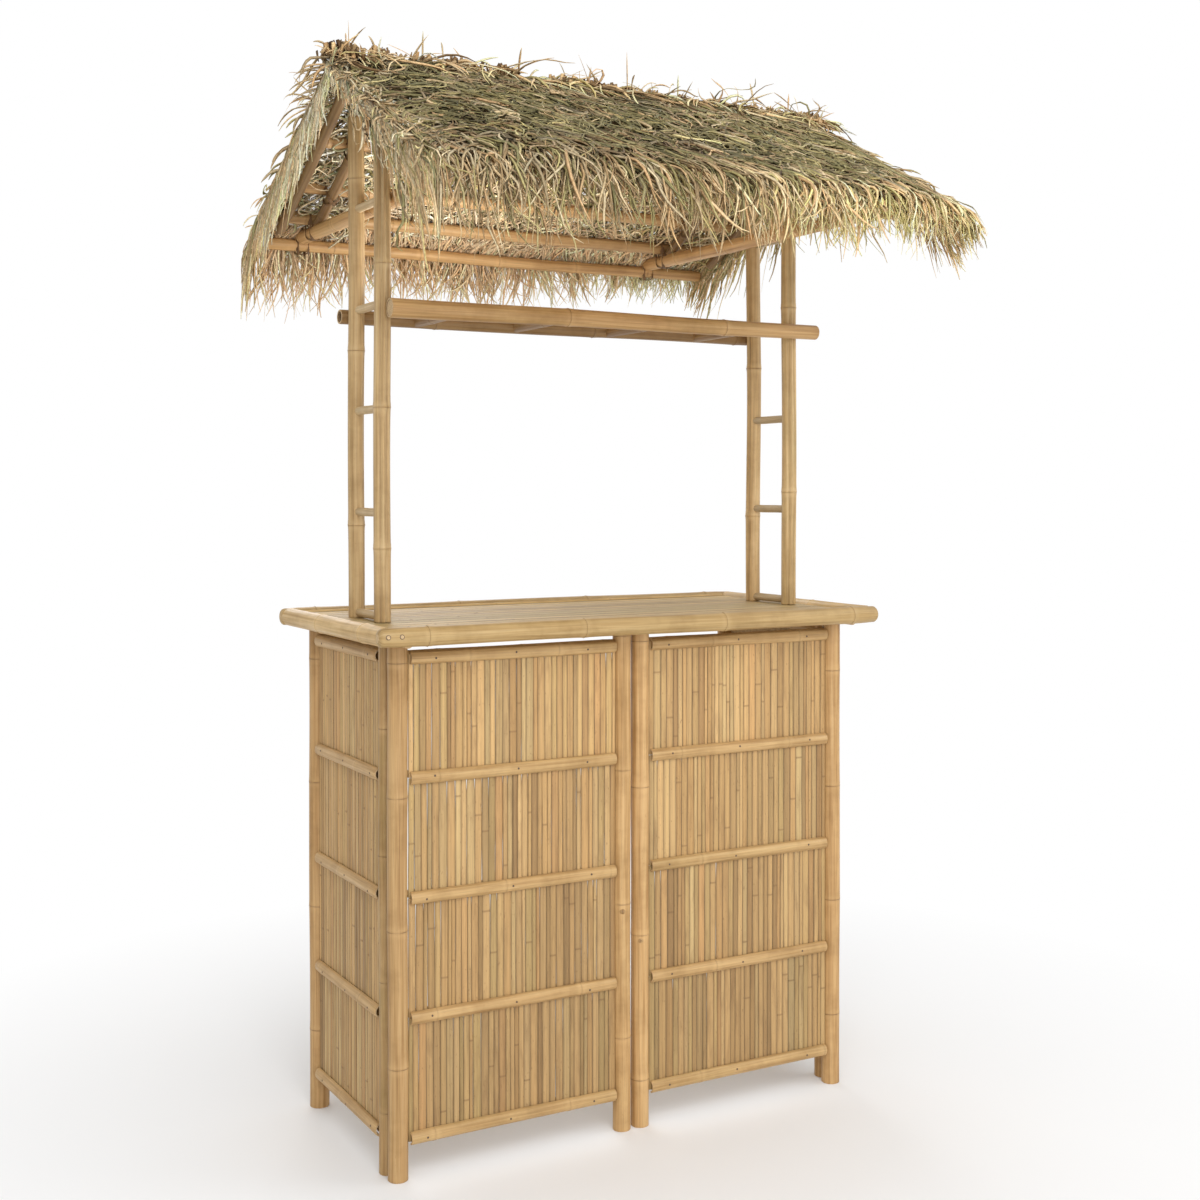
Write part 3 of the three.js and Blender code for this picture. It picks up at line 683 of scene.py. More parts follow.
# The pitch and the first of the joints, the sides, the wall and the bow.
bearer_sizes = (0.2, 0.12, 20, 0.0035, 0.0006)
for node, (seed, way, level, pitch, first) in counter_poles.items():
    if way == 0:
        stock = pole(node, seed, level, way, pitch, first, pole_sides, pole_wall, long_bow,
                     dome=end_round, swell=long_swell)
    else:
        stock = pole(node, seed, level, way, pitch, first, pole_sides, pole_wall, side_bow,
                     seat=side_seat, swell=side_swell)
    edge = build(node + "_culm", stock, [counter_skin, cut_end, hollow_shade_and_scar_heart])
    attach(edge, "root")
    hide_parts(node)
for number, node in enumerate(("counter_bearer_left", "counter_bearer_right")):
    stock = pole(node, 320 + number, 1.0, 1, *bearer_sizes)
    bearer = build(node + "_culm", stock, [rail_skin, cut_end, hollow_shade_and_scar_heart])
    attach(bearer, "root")
    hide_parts(node)
bed_skin = split_skin("bed_skin", [
    (0.62, 0.43, 0.19), (0.50, 0.35, 0.15), (0.42, 0.29, 0.13), (0.66, 0.46, 0.19),
    (0.46, 0.35, 0.16), (0.56, 0.36, 0.14)], (0.20, 0.13, 0.07), 0.85)
bed_count = 33
bed_thickness, bed_crown, bed_lean = 0.005, 0.0012, 0.0008
bed_sinks, bed_shorts, bed_joints = (0.0, 0.0012), (0, 0.002), (0.05, 0.35)
bed_levels, bed_gaps = (0.86, 1.22), (0.0004, 0.0007, 0.0013)
low, high = box_of("counter_bed")
bed = Stock(330)
dice = bed.dice
bed_pitch = (high.y - low.y) / bed_count
for k in range(bed_count):
    y = low.y + (k + 0.5) * bed_pitch
    z = high.z - dice.uniform(*bed_sinks)
    joint = dice.uniform(*bed_joints)
    bed.level = dice.uniform(*bed_levels)
    strip(bed, (low.x + dice.uniform(*bed_shorts), y, z), (high.x - dice.uniform(*bed_shorts), y, z),
          upward, bed_pitch - dice.choice(bed_gaps), bed_thickness, bed_crown * dice.uniform(0.6, 1.2),
          dice.random(), joint, dice.uniform(-bed_lean, bed_lean))
deck = build("counter_bed_strips", bed, [bed_skin, split_side], strip_crease)
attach(deck, "root")
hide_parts("counter_bed")

# Dowels in the counter's front pole. Two pale pegs with a dark rim pin its left end to the pole at the
# side.
dowel_places = (0.016, 0.044)
dowel_out = Vector((0, -0.99, 0.12)).normalized()
dowel_sink = 0.0004
dowel_parts = {"rim": (nail_finish, 0.0050, 0.0006), "peg": (cut_end, 0.0038, 0.0014)}
for number, run in enumerate(dowel_places):
    spot = middle_of("counter_pole_front")
    spot.x = box_of("counter_pole_front")[0].x + run
    spot += dowel_out * (half_width("counter_pole_front", 2) - dowel_sink)
    for part, (finish, radius, rise) in dowel_parts.items():
        stock = Stock(350 + number)
        nail(stock, spot, dowel_out, radius, rise)
        peg = build(f"counter_dowel_{number + 1}_{part}", stock, [finish], strip_crease)
        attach(peg, "root")

# Trim on the counter. A slim half-round strip is nailed along the back edge of the bed, where the
# last strip meets the pole.
trim_width, trim_rise, trim_wall = 0.009, 0.0045, 0.0018
trim_inset, trim_end_gap, trim_sink = 0.009, 0.004, 0.0004
trim_joints = (0.2, 0.47, 0.78)
low, high = box_of("counter_bed")
y, z = high.y - trim_inset, high.z - trim_sink
stock = Stock(340)
half_culm(stock, (low.x + trim_end_gap, y, z), (high.x - trim_end_gap, y, z), upward,
          trim_width, trim_rise, trim_wall, trim_joints, 0.0005, 0.3)
trim = build("counter_trim", stock, [counter_skin, cut_end])
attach(trim, "root")

# Ladders. Two uprights stand on each end of the counter, flattened where a branch grew along them,
# and five peeled rungs are set into both.
upright_skin = bamboo_skin(
    "upright_skin", (0.64, 0.46, 0.24), (0.53, 0.35, 0.16), (0.36, 0.225, 0.095), (0.39, 0.33, 0.15), 0.45)
rung_skin = bamboo_skin(
    "rung_skin", (0.68, 0.52, 0.31), (0.60, 0.44, 0.24), (0.47, 0.32, 0.16), (0.53, 0.43, 0.24))
upright_sides, upright_wall, upright_bow, upright_swell = 44, 0.0035, 0.0026, 0.0013
upright_groove, upright_groove_turn = 0.0030, -1.75
ladders = {
    # The first joint and the pitch of each upright, and how light the uprights and the rungs are.
    "left": ({"front": (0.151, 0.290), "back": (0.196, 0.370)}, 0.99, 1.04),
    "right": ({"front": (0.266, 0.430), "back": (0.207, 0.356)}, 1.15, 0.86),
}
rung_radius = 0.0095
rung_count = 5
rung_foot, rung_head = 0.011, 0.197
rung_seat_share = 0.6
rung_sizes = (0.5, 0.4, 20, 0.003, 0.0003)
for number, (side, (uprights, level, rung_level)) in enumerate(ladders.items()):
    low, high = box_of(f"ladder_{side}_upright_front")
    radius = half_width(f"ladder_{side}_upright_front", 0)
    x, front_y = (low.x + high.x) / 2, (low.y + high.y) / 2
    back_y = box_of(f"ladder_{side}_upright_back")[1].y - radius
    for order, (end, (first, pitch)) in enumerate(uprights.items()):
        node = f"ladder_{side}_upright_{end}"
        y = back_y if order else front_y
        stock = Stock(400 + 2 * number + order)
        stock.level = level
        culm(stock, (x, y, low.z), (x, y, high.z), radius, pitch, first, upright_sides, upright_wall,
             upright_bow, upright_groove, swell=upright_swell,
             groove_turn=None if order else upright_groove_turn)
        upright = build(node + "_culm", stock, [upright_skin, cut_end, hollow_shade_and_scar_heart])
        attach(upright, "root")
        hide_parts(node)
    rungs = Stock(410 + number)
    rungs.level = rung_level
    lowest = low.z + rung_foot
    rung_pitch = (high.z - rung_head - lowest) / (rung_count - 1)
    seat = radius * rung_seat_share
    for k in range(rung_count):
        z = lowest + k * rung_pitch
        culm(rungs, (x, front_y + seat, z), (x, back_y - seat, z), rung_radius, *rung_sizes)
    bars = build(f"ladder_{side}_rungs", rungs, [rung_skin, cut_end, hollow_shade_and_scar_heart])
    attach(bars, "root")

# Rack. A pole is nailed to the front of the uprights and another to their back, and four bars run
# from one to the other, for bottles and glasses to stand on.
rack_skin = bamboo_skin(
    "rack_skin", (0.64, 0.41, 0.19), (0.53, 0.31, 0.125), (0.38, 0.205, 0.075), (0.41, 0.29, 0.115), 0.4)
rack_poles = {
    # How light it is, its first joint, its start over the width of its box, how much of that it
    # loses by its far end, and whether a joint closes the sawn end.
    "rack_pole_front": (0.98, 0.41, 1.08, 0.16, True), "rack_pole_back": (0.60, 0.22, 1.0, 0.0, False),
}
# The bars are painted darker than the front pole: painted shade under the rack poles.
rack_bar_count, bar_shade, bar_seat = 4, 0.62, -0.008
bar_sizes = (0.3, (0.05, 0.15), 24, 0.0035, 0.0004)
rack_pitch, rack_sides, rack_wall, rack_bow, rack_swell = 0.4, 28, 0.0045, 0.0015, 0.0012
for number, (node, (level, first, wide, taper, plugged)) in enumerate(rack_poles.items()):
    stock = pole(node, 500 + number, level, 0, rack_pitch, first, rack_sides, rack_wall, rack_bow,
                 wide=wide, taper=taper, swell=rack_swell, plugged=plugged)
    rack_pole = build(node + "_culm", stock, [rack_skin, cut_end, hollow_shade_and_scar_heart])
    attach(rack_pole, "root")
    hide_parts(node)
for k in range(rack_bar_count):
    node = f"rack_bar_{k + 1}"
    stock = pole(node, 510 + k, bar_shade, 1, *bar_sizes, seat=bar_seat)
    crossbar = build(node + "_culm", stock, [rack_skin, cut_end, hollow_shade_and_scar_heart])
    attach(crossbar, "root")
    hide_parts(node)

# Roof poles. Two tie beams lie across the ladders and carry the eave poles at their ends. Rafters
# lean from there to the ridge, with three purlins across them on each slope.
roof_skin = bamboo_skin(
    "roof_skin", (0.84, 0.53, 0.24), (0.68, 0.40, 0.165), (0.47, 0.25, 0.095), (0.52, 0.36, 0.15), 0.4)
tie_joints = {"tie_beam_left": 0.12, "tie_beam_right": 0.2}
long_joints = {"eave_pole_front": 0.1, "eave_pole_back": 0.18, "ridge_pole": 0.07}
# The purlins and, most of all, the rafters are painted darker: painted shade under the thatch.
tie_level, long_level, purlin_shade, rafter_shade = 0.9, 0.86, 0.68, 0.36
roof_sides, roof_wall, roof_swell = 24, 0.004, 0.001
tie_pitch, tie_bow, long_pitch, long_bow, purlin_bow = 0.23, 0.0015, 0.22, 0.002, 0.0018
purlin_firsts, rafter_pitch, rafter_firsts = (0.04, 0.2), 0.2, (0.04, 0.16)
rafter_sides, rafter_wall, rafter_bow = 20, 0.0035, 0.001
for number, (node, first) in enumerate(tie_joints.items()):
    stock = pole(node, 600 + number, tie_level, 1, tie_pitch, first, roof_sides, roof_wall, tie_bow,
                 swell=roof_swell)
    tie = build(node + "_culm", stock, [roof_skin, cut_end, hollow_shade_and_scar_heart])
    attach(tie, "root")
    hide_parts(node)
for number, (node, first) in enumerate(long_joints.items()):
    stock = pole(node, 610 + number, long_level, 0, long_pitch, first, roof_sides, roof_wall, long_bow,
                 swell=roof_swell)
    long_pole = build(node + "_culm", stock, [roof_skin, cut_end, hollow_shade_and_scar_heart])
    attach(long_pole, "root")
    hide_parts(node)
slopes = {"back": 1, "front": -1}
slope_run, slope_rise = 0.530, 0.281
slope_turn, slope_fall = math.atan2(slope_rise, slope_run), slope_rise / slope_run
eave = middle_of("eave_pole_back")
ridge_line = eave.z + slope_rise
purlin_radius, rafter_radius = 0.015, 0.0125
lowest_purlin = middle_of("tie_beam_left").z + half_width("tie_beam_left", 2) + purlin_radius
purlin_runs = ((ridge_line - lowest_purlin) / slope_fall, 0.63 * slope_run, 0.36 * slope_run)
rafter_sink = 0.0015
rafter_drop = (purlin_radius + rafter_radius - rafter_sink) / math.cos(slope_turn)
gable_inset, gable_foot, inner_foot = 0.02, 0.006, 0.012
rafter_top_run, rafter_top_drop = 0.004, 0.002
tie_left, tie_right = middle_of("tie_beam_left").x, middle_of("tie_beam_right").x
roof_low, roof_high = (corner.x for corner in box_of("eave_pole_back"))
rafter_places = {
    roof_low + gable_inset: gable_foot, tie_left: inner_foot, tie_right: inner_foot,
    roof_high - gable_inset: gable_foot,
}
for number, (side, toward) in enumerate(slopes.items()):
    stock = Stock(620 + number)
    stock.level = purlin_shade
    for run in purlin_runs:
        y, z = toward * run, ridge_line - run * slope_fall
        culm(stock, (roof_low, y, z), (roof_high, y, z), purlin_radius, long_pitch,
             stock.dice.uniform(*purlin_firsts), roof_sides, roof_wall, purlin_bow, swell=roof_swell)
    stock.level = rafter_shade
    for x, foot_run in rafter_places.items():
        run = purlin_runs[0] + foot_run
        foot = (x, toward * run, ridge_line - run * slope_fall - rafter_drop)
        top = (x, toward * rafter_top_run, ridge_line - rafter_drop - rafter_top_drop)
        culm(stock, foot, top, rafter_radius, rafter_pitch, stock.dice.uniform(*rafter_firsts),
             rafter_sides, rafter_wall, rafter_bow)
    lattice = build(f"roof_lattice_{side}_culms", stock, [roof_skin, cut_end, hollow_shade_and_scar_heart])
    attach(lattice, "root")
    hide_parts("roof_lattice_" + side)

# Lashings. Flat split rattan is wound twice each way round the crossings of the inner rafters with the
# purlins, and of the tie beams with the eave poles. The gable rafters are only nailed.
rattan_width, rattan_thickness = 0.0034, 0.0011
# The band's section, in half widths and half thicknesses.
rattan_section = ((-1, -1), (1, -1), (1, 0.3), (0.6, 1), (-0.6, 1), (-1, 0.3))
lashing_turns, lashing_steps = 2, 26
lashing_clear = 0.0006
# Half the loop's width over the thicker pole's radius, the power that squares the loop, and how many
# widths of rattan it is from one turn to the next.
lashing_spread, lashing_square, lashing_pitch = 1.32, 0.45, 1.08
lashing_crease = 60
tie_grip, eave_grip, eave_lift = 0.013, 0.015, 0.010


def lashing(stock, place, one, one_radius, other, other_radius, out):
    """Turns round two crossed poles: one lies nearer to out than the other, and they touch."""
    dice = stock.dice
    wide = max(one_radius, other_radius) * lashing_spread
    top, bottom = one_radius * 2 + lashing_clear, -other_radius * 2 - lashing_clear
    for slant in (1, -1):
        line = (one + other * slant).normalized()
        side = line.cross(out).normalized()
        path = []
        for k in range(lashing_turns * lashing_steps):
            turn = full_turn * (k % lashing_steps) / lashing_steps
            c, s = (math.copysign(abs(v) ** lashing_square, v) for v in (math.cos(turn), math.sin(turn)))
            drift = (k / lashing_steps - lashing_turns / 2) * rattan_width * lashing_pitch
            height = ((top - bottom) * s + top + bottom) / 2
            path.append(place + side * wide * c + out * height + line * drift)
        tone = dice.random()
        shift = own_grain(dice)
        rings, run = [], 0.0
        for k, point in enumerate(path):
            behind, ahead = path[max(k - 1, 0)], path[min(k + 1, len(path) - 1)]
            way = (ahead - behind).normalized()
            lift = way.cross(line).normalized()
            flat = lift.cross(way).normalized()
            run += (point - behind).length
            corners = [point + flat * p * rattan_width / 2 - lift * q * rattan_thickness / 2
                       for p, q in rattan_section]
            grain = [Vector((p * rattan_width / 2, 0.0, run)) + shift for p, q in rattan_section]
            rings.append(stock.ring(corners, grain, 1, tone))
        stock.skin(rings)


rattan_finish = split_skin("rattan", [(0.20, 0.11, 0.045), (0.15, 0.075, 0.03), (0.26, 0.15, 0.065)],
                           (0.07, 0.035, 0.015))
inward = Vector((0, 1, 0))
for number, (side, toward) in enumerate(slopes.items()):
    stock = Stock(640 + number)
    down = Vector((0, toward * math.cos(slope_turn), -math.sin(slope_turn)))
    up = Vector((0, toward * math.sin(slope_turn), math.cos(slope_turn)))
    for run in purlin_runs:
        for x in (tie_left, tie_right):
            place = Vector((x, toward * run, ridge_line - run * slope_fall)) - up * purlin_radius
            lashing(stock, place, right, purlin_radius, down, rafter_radius, up)
    for x in (tie_left, tie_right):
        place = Vector((x, toward * eave.y, eave.z + eave_lift))
        lashing(stock, place, inward, tie_grip, right, eave_grip, upward)
        place = Vector((x, toward * purlin_runs[0], lowest_purlin - purlin_radius))
        lashing(stock, place, right, purlin_radius, inward, half_width("tie_beam_left", 2), upward)
    ties = build(f"lashings_{side}", stock, [rattan_finish], lashing_crease)
    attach(ties, "root")

# Thatch. Long dry grass is laid down each slope in overlapping courses on the purlins. It is curly
# and tangled, lets specks of light through, and hangs past the eave pole and the gables as a fringe.
under_rise = 0.0173
roof_half, edge_start, edge_width = 0.62, 0.50, 0.12
eave_run = 0.59
straw_steps = 12
olive = np.array([(0.60, 0.51, 0.23), (0.42, 0.37, 0.16), (0.72, 0.62, 0.32), (0.38, 0.35, 0.17),
                  (0.64, 0.52, 0.23)])
# Pale tan straw, painted lighter still: painted light from behind and below, for the under straws and the
# back fringe.
painted_backlight_tan = np.array([(0.92, 0.66, 0.40), (0.86, 0.58, 0.33), (0.95, 0.75, 0.50), (0.80, 0.60, 0.38)])
tan = np.array([(0.80, 0.62, 0.36), (0.72, 0.50, 0.26), (0.88, 0.74, 0.48), (0.66, 0.50, 0.29),
                (0.76, 0.50, 0.26)])
brown = np.array([(0.17, 0.10, 0.045), (0.28, 0.18, 0.085), (0.11, 0.062, 0.028), (0.42, 0.30, 0.16)])
downhill = {side: np.array((0.0, side * math.cos(slope_turn), -math.sin(slope_turn))) for side in (1, -1)}
off_slope = {side: np.array((0.0, side * math.sin(slope_turn), math.cos(slope_turn))) for side in (1, -1)}
ridge_point = np.array((0.0, 0.0, ridge_line + under_rise))
gable_knee, gable_limit, right_gable_short = 0.605, 0.646, 0.018
eave_knee, eave_limit = 0.585, 0.615
hang_left = {1: 0.230, -1: 0.225}
hang_right = {1: 0.122, -1: 0.112}
hang_shares = (0.45, 1.18)
# Straw on the slope keeps this near to it, closer at the gables, and past the eave it hangs this steep.
lift_limit, lift_edge = 0.034, 0.028
fall_turn, fall_spread, bend_runs, flick_spread = 87, 8, (0.02, 0.10), 0.55
# A straw sways to the side and up and down, this many radians to each sway_run of its length.
sway_run, side_beats, rise_beats, rise_sway = 0.3, (5.0, 13.0), (4.0, 10.0), 0.30
gable_width, gable_droop = 0.05, 1.4


def share_past(value, start, width):
    """How far past start a value is, as a share of width from nought to one."""
    return np.clip((value - start) / width, 0, 1)


def unit(v):
    """Rows of v at length one."""
    return v / np.maximum(np.linalg.norm(v, axis=-1, keepdims=True), 1e-9)


def waves(x, run, seed, finest=16):
    """A few slow waves over a slope, between about minus one and one."""
    dice = np.random.RandomState(seed)
    total = np.zeros_like(x)
    for _ in range(8):
        fx, fs, phase = dice.uniform(2, finest), dice.uniform(3, finest), dice.uniform(*any_turn)
        total += np.sin(fx * x + fs * run + phase)
    return total / 4


def eased(reach, knee, limit):
    """Coordinates, with those past the knee on either side drawn in short of the limit."""
    past = np.maximum(np.abs(reach) - knee, 0)
    return np.sign(reach) * (np.abs(reach) - past + (limit - knee) * np.tanh(past / (limit - knee)))


def lay(dice, side, x, run, lift, length, heading, curl, seed, reach):
    """The path of each straw that lies on a slope and hangs over its eave: (straw, step, XYZ)."""
    count = len(x)
    hang = hang_left[side] + (hang_right[side] - hang_left[side]) * share_past(x, -roof_half, 2 * roof_half)
    hang = hang * (0.88 + 0.12 * waves(x * 2, x * 0, seed + 5)) * dice.uniform(*hang_shares, count)
    length = np.minimum(length, np.maximum(eave_run - run, 0) * 1.12 + hang)
    step = (length / straw_steps)[:, None]
    lift = lift * (1 - 0.75 * share_past(np.abs(x), edge_start, edge_width))
    place = ridge_point + x[:, None] * np.array((1.0, 0, 0)) + run[:, None] * downhill[side]
    place = place + lift[:, None] * off_slope[side]
    phase, beat = dice.uniform(*any_turn, (2, count)), dice.uniform(*side_beats, (2, count))
    rise_phase, rise_beat = dice.uniform(*any_turn, count), dice.uniform(*rise_beats, count)
    fall = np.radians(fall_turn + dice.normal(0, fall_spread, count))
    bend_run = dice.uniform(*bend_runs, count)
    flick = dice.normal(0, flick_spread, count)
    reach = reach - right_gable_short * (x > 0)
    knee, limit = gable_knee + reach, gable_limit + reach
    path = [place.copy()]
    # A straw is past the eave, and out over the gable, by a share from nought to one.
    for k in range(straw_steps):
        t = (k + 0.5) / straw_steps
        done = t * length / sway_run
        way = heading + 0.35 * waves(place[:, 0], run, seed) + 0.25 * np.clip(1 - run / 0.3, 0, 1)
        way = way + curl * (np.sin(phase[0] + beat[0] * done) + 0.5 * np.sin(phase[1] + 2 * beat[1] * done))
        past = share_past(run, eave_run, bend_run)
        past = past * past * (3 - 2 * past)
        out = share_past(np.abs(place[:, 0]), knee, gable_width)
        way = way * (1 - 0.55 * past) + flick * past * t * t
        tilt = slope_turn + (fall - slope_turn) * past
        tilt = tilt + rise_sway * np.sin(rise_phase + rise_beat * done) * (1 - 0.4 * past)
        sideways, along = np.sin(way), np.cos(way)
        way_3d = np.stack((sideways * (1 - 0.7 * out), side * along * np.cos(tilt),
                           -along * np.sin(tilt) - np.abs(sideways) * out * gable_droop), axis=1)
        place = place + unit(way_3d) * step
        over_slope = (place - ridge_point) @ off_slope[side]
        highest = lift_limit - lift_edge * share_past(np.abs(place[:, 0]), edge_start, edge_width)
        highest = highest + 0.6 * np.maximum(reach, 0)
        short = np.clip(over_slope, np.minimum(lift, 0.001), highest) - over_slope
        place = place + (short * (1 - past) * (1 - out))[:, None] * off_slope[side]
        run = run + along * step[:, 0] * (1 - 0.3 * out)
        path.append(place.copy())
    path = np.stack(path, axis=1)
    path[..., 0] = eased(path[..., 0], knee[:, None], limit[:, None])
    path[..., 1] = eased(path[..., 1], eave_knee, eave_limit)
    return path


# Straws are painted darker at the root and lighter to the tip, painted shade where they lie under others,
# and the raised spine carries a painted highlight.
blade_rise, painted_tip_light, painted_spine_highlight = 0.55, 1.16, 1.08


def blades(path, width, colours, root, dice, steps, tip=0.3):
    """Closed three-sided blades along paths: coordinates, corners of faces and a colour per point."""
    count = path.shape[0]
    way = np.empty_like(path)
    way[:, 1:-1] = path[:, 2:] - path[:, :-2]
    way[:, 0], way[:, -1] = path[:, 1] - path[:, 0], path[:, -1] - path[:, -2]
    way = unit(way)
    facing = np.array((0.0, 0.0, 1.0)) + dice.normal(0, 0.7, (count, 1, 3))
    flat = unit(np.cross(way, np.broadcast_to(facing, way.shape)))
    proud = np.cross(flat, way)
    t = np.linspace(0, 1, steps + 1)
    twist = dice.uniform(-0.9, 0.9, (count, 1)) + dice.uniform(-2.0, 2.0, (count, 1)) * t
    c, s = np.cos(twist)[..., None], np.sin(twist)[..., None]
    flat, proud = flat * c + proud * s, proud * c - flat * s
    profile = (0.75 + 0.25 * np.sin(np.pi * t)) * (1 - (1 - tip) * share_past(t, 0.7, 0.3) ** 1.5)
    half = (width[:, None] * profile / 2)[..., None]
    rings = np.stack((path + flat * half, path - flat * half, path + proud * half * blade_rise), axis=2)
    base = (np.arange(count) * (steps + 1) * 3)[:, None, None] + (np.arange(steps) * 3)[None, :, None]
    a, b = base + np.array((0, 1, 2)), base + np.array((1, 2, 0))
    quads = np.stack((a, b, b + 3, a + 3), axis=-1).reshape(-1, 4)
    foot = np.arange(count) * (steps + 1) * 3
    head = foot + steps * 3
    caps = np.stack(((foot + 2, foot + 1, foot), (head, head + 1, head + 2)))
    caps = caps.transpose(0, 2, 1).reshape(-1, 3)
    shade = np.broadcast_to(colours[:, None, None, :], (count, steps + 1, 3, 3)).copy()
    root = np.broadcast_to(root, count)[:, None]
    # Painted shade at the root, painted light at the tip, and a painted highlight along the spine.
    shade *= (root + (painted_tip_light - root) * t ** 0.8)[..., None, None]
    shade[:, :, 2] *= painted_spine_highlight
    return rings.reshape(-1, 3), quads, caps, shade.reshape(-1, 3)


def straw_piece(name, bundles, finish):
    """One mesh of blades, with the colour of each straw on its points."""
    starts = np.cumsum([0] + [len(b[0]) for b in bundles])[:-1]
    points, colours = (np.concatenate([b[i] for b in bundles]) for i in (0, 3))
    quads, caps = (np.concatenate([b[i] + s for b, s in zip(bundles, starts)]) for i in (1, 2))
    mesh = bpy.data.meshes.new(name)
    mesh.vertices.add(len(points))
    mesh.vertices.foreach_set("co", points.astype(np.float32).ravel())
    mesh.loops.add(quads.size + caps.size)
    mesh.loops.foreach_set("vertex_index", np.concatenate((quads.ravel(), caps.ravel())).astype(np.int32))
    mesh.polygons.add(len(quads) + len(caps))
    begins = np.concatenate((np.arange(len(quads)) * 4, len(quads) * 4 + np.arange(len(caps)) * 3))
    mesh.polygons.foreach_set("loop_start", begins.astype(np.int32))
    mesh.update(calc_edges=True)
    mesh.validate()
    mesh.polygons.foreach_set("use_smooth", [True] * len(mesh.polygons))
    layer = mesh.attributes.new("straw", "FLOAT_COLOR", "POINT")
    rgba = np.concatenate((np.clip(colours, 0, 1), np.ones((len(colours), 1))), axis=1)
    layer.data.foreach_set("color", rgba.astype(np.float32).ravel())
    mesh.materials.append(finish)
    return stand(name, mesh)


def pick(dice, palette, count, spread=0.2):
    """A colour for each straw: two of the palette mixed, then a little lighter or darker."""
    one, two = palette[dice.randint(0, len(palette), (2, count))]
    share = dice.uniform(0, 1, (count, 1))
    return (one * share + two * (1 - share)) * np.exp(dice.normal(0, spread, (count, 1)))


def mixed(dice, count, tan_share):
    """Straws of tan and olive, with this share of tan."""
    warm = dice.uniform(0, 1, (count, 1)) < np.reshape(tan_share, (-1, 1))
    return np.where(warm, pick(dice, tan, count), pick(dice, olive, count))


straw_finish, tree, shader = finish_nodes("dry_straw")
own = tree.nodes.new("ShaderNodeAttribute")
own.attribute_name = "straw"
places = tree.nodes.new("ShaderNodeTexCoord")
specks = tree.nodes.new("ShaderNodeTexNoise")
specks.inputs["Scale"].default_value = 160
specks.inputs["Detail"].default_value = 3
tree.links.new(places.outputs["Object"], specks.inputs["Vector"])
colour = blend(tree, "MULTIPLY", 0.8, own.outputs["Color"],
               ramp(tree, specks.outputs["Fac"], [(0.3, (0.62, 0.56, 0.46)), (0.58, (1.0, 1.0, 1.0))]))
tree.links.new(colour, shader.inputs["Base Color"])
shader.inputs["Roughness"].default_value = 0.6
shader.inputs["Specular IOR Level"].default_value = 0.22
relief(tree, shader, specks.outputs["Fac"], 0.2, 0.0006)
slices = 4
straw_widths = (0.0042, 0.0074)
# Each layer: how many straws on the front slope, between what they start across the slope, down it and
# off it, how long they are, how far they turn from their heading, and how much they curl.
layers = {
    "under": (1700, (-0.635, 0.635), (0.0, 0.56), (-0.005, 0.003), (0.07, 0.18), 1.5, 1.3),
    # The dark layer is dark brown straws laid under the main one: painted shade in the gaps of the thatch.
    "dark": (750, (-0.61, 0.61), (0.0, 0.52), (0.007, 0.014), (0.12, 0.30), 0.5, 0.7),
    "main": (1750, (-0.62, 0.62), (-0.01, 0.50), (0.014, 0.030), (0.16, 0.34), 0.42, 1.1),
    "tangle": (850, (-0.61, 0.61), (0.0, 0.55), (0.020, 0.030), (0.12, 0.30), 0.6, 1.3),
    "fringe": (1300, (-0.62, 0.62), (0.44, 0.585), (0.0, 0.02), (0.22, 0.40), 0.20, 0.34),
    "gable_left": (330, (-0.64, -0.585), (-0.02, 0.56), (0.0, 0.008), (0.16, 0.36), 0.25, 0.40),
    "gable_right": (300, (0.585, 0.64), (-0.02, 0.56), (0.0, 0.008), (0.16, 0.34), 0.25, 0.40),
    "stray": (200, (-0.58, 0.58), (0.0, 0.50), (0.026, 0.032), (0.12, 0.26), 0.9, 1.0),
    "rag_left": (60, (-0.64, -0.60), (0.0, 0.56), (0.004, 0.016), (0.05, 0.11), 0.4, 0.5),
    "rag_right": (190, (0.58, 0.62), (0.0, 0.56), (0.004, 0.020), (0.06, 0.14), 0.4, 0.5),
    "loop_left": (190, (-0.635, -0.40), (0.0, 0.52), (-0.046, -0.010), (0.08, 0.19), 1.2, 1.6),
    "loop_right": (110, (0.42, 0.63), (0.0, 0.50), (-0.040, -0.012), (0.08, 0.18), 1.2, 1.6),
    "curtain": (330, (-0.648, -0.61), (-0.01, 0.50), (-0.018, 0.002), (0.08, 0.19), 0.7, 1.2),
}
tan_shares = {
    "under": 0.9, "tangle": 0.3, "fringe": 0.7, "gable_left": 0.8, "gable_right": 0.7, "stray": 0.6,
    "loop_left": 0.9, "loop_right": 0.9, "rag_left": 0.8, "rag_right": 0.5, "curtain": 0.85,
}
# The way that straws lie, from straight down the slope, positive to the right.
headings = {"gable_left": -0.45, "gable_right": 0.45, "rag_left": -0.9, "rag_right": 0.8, "curtain": -1.15}
common_heading = 0.08
# The back slope is laid thinner, most of all at the left. These are its shares of the straws.
back_shares, back_crowding = {"under": 0.72, "dark": 0.1, "main": 0.55}, 0.72
rag_reaches, curl_shares, most_curl = (0, 0.040), (0.3, 1.5), 1.8
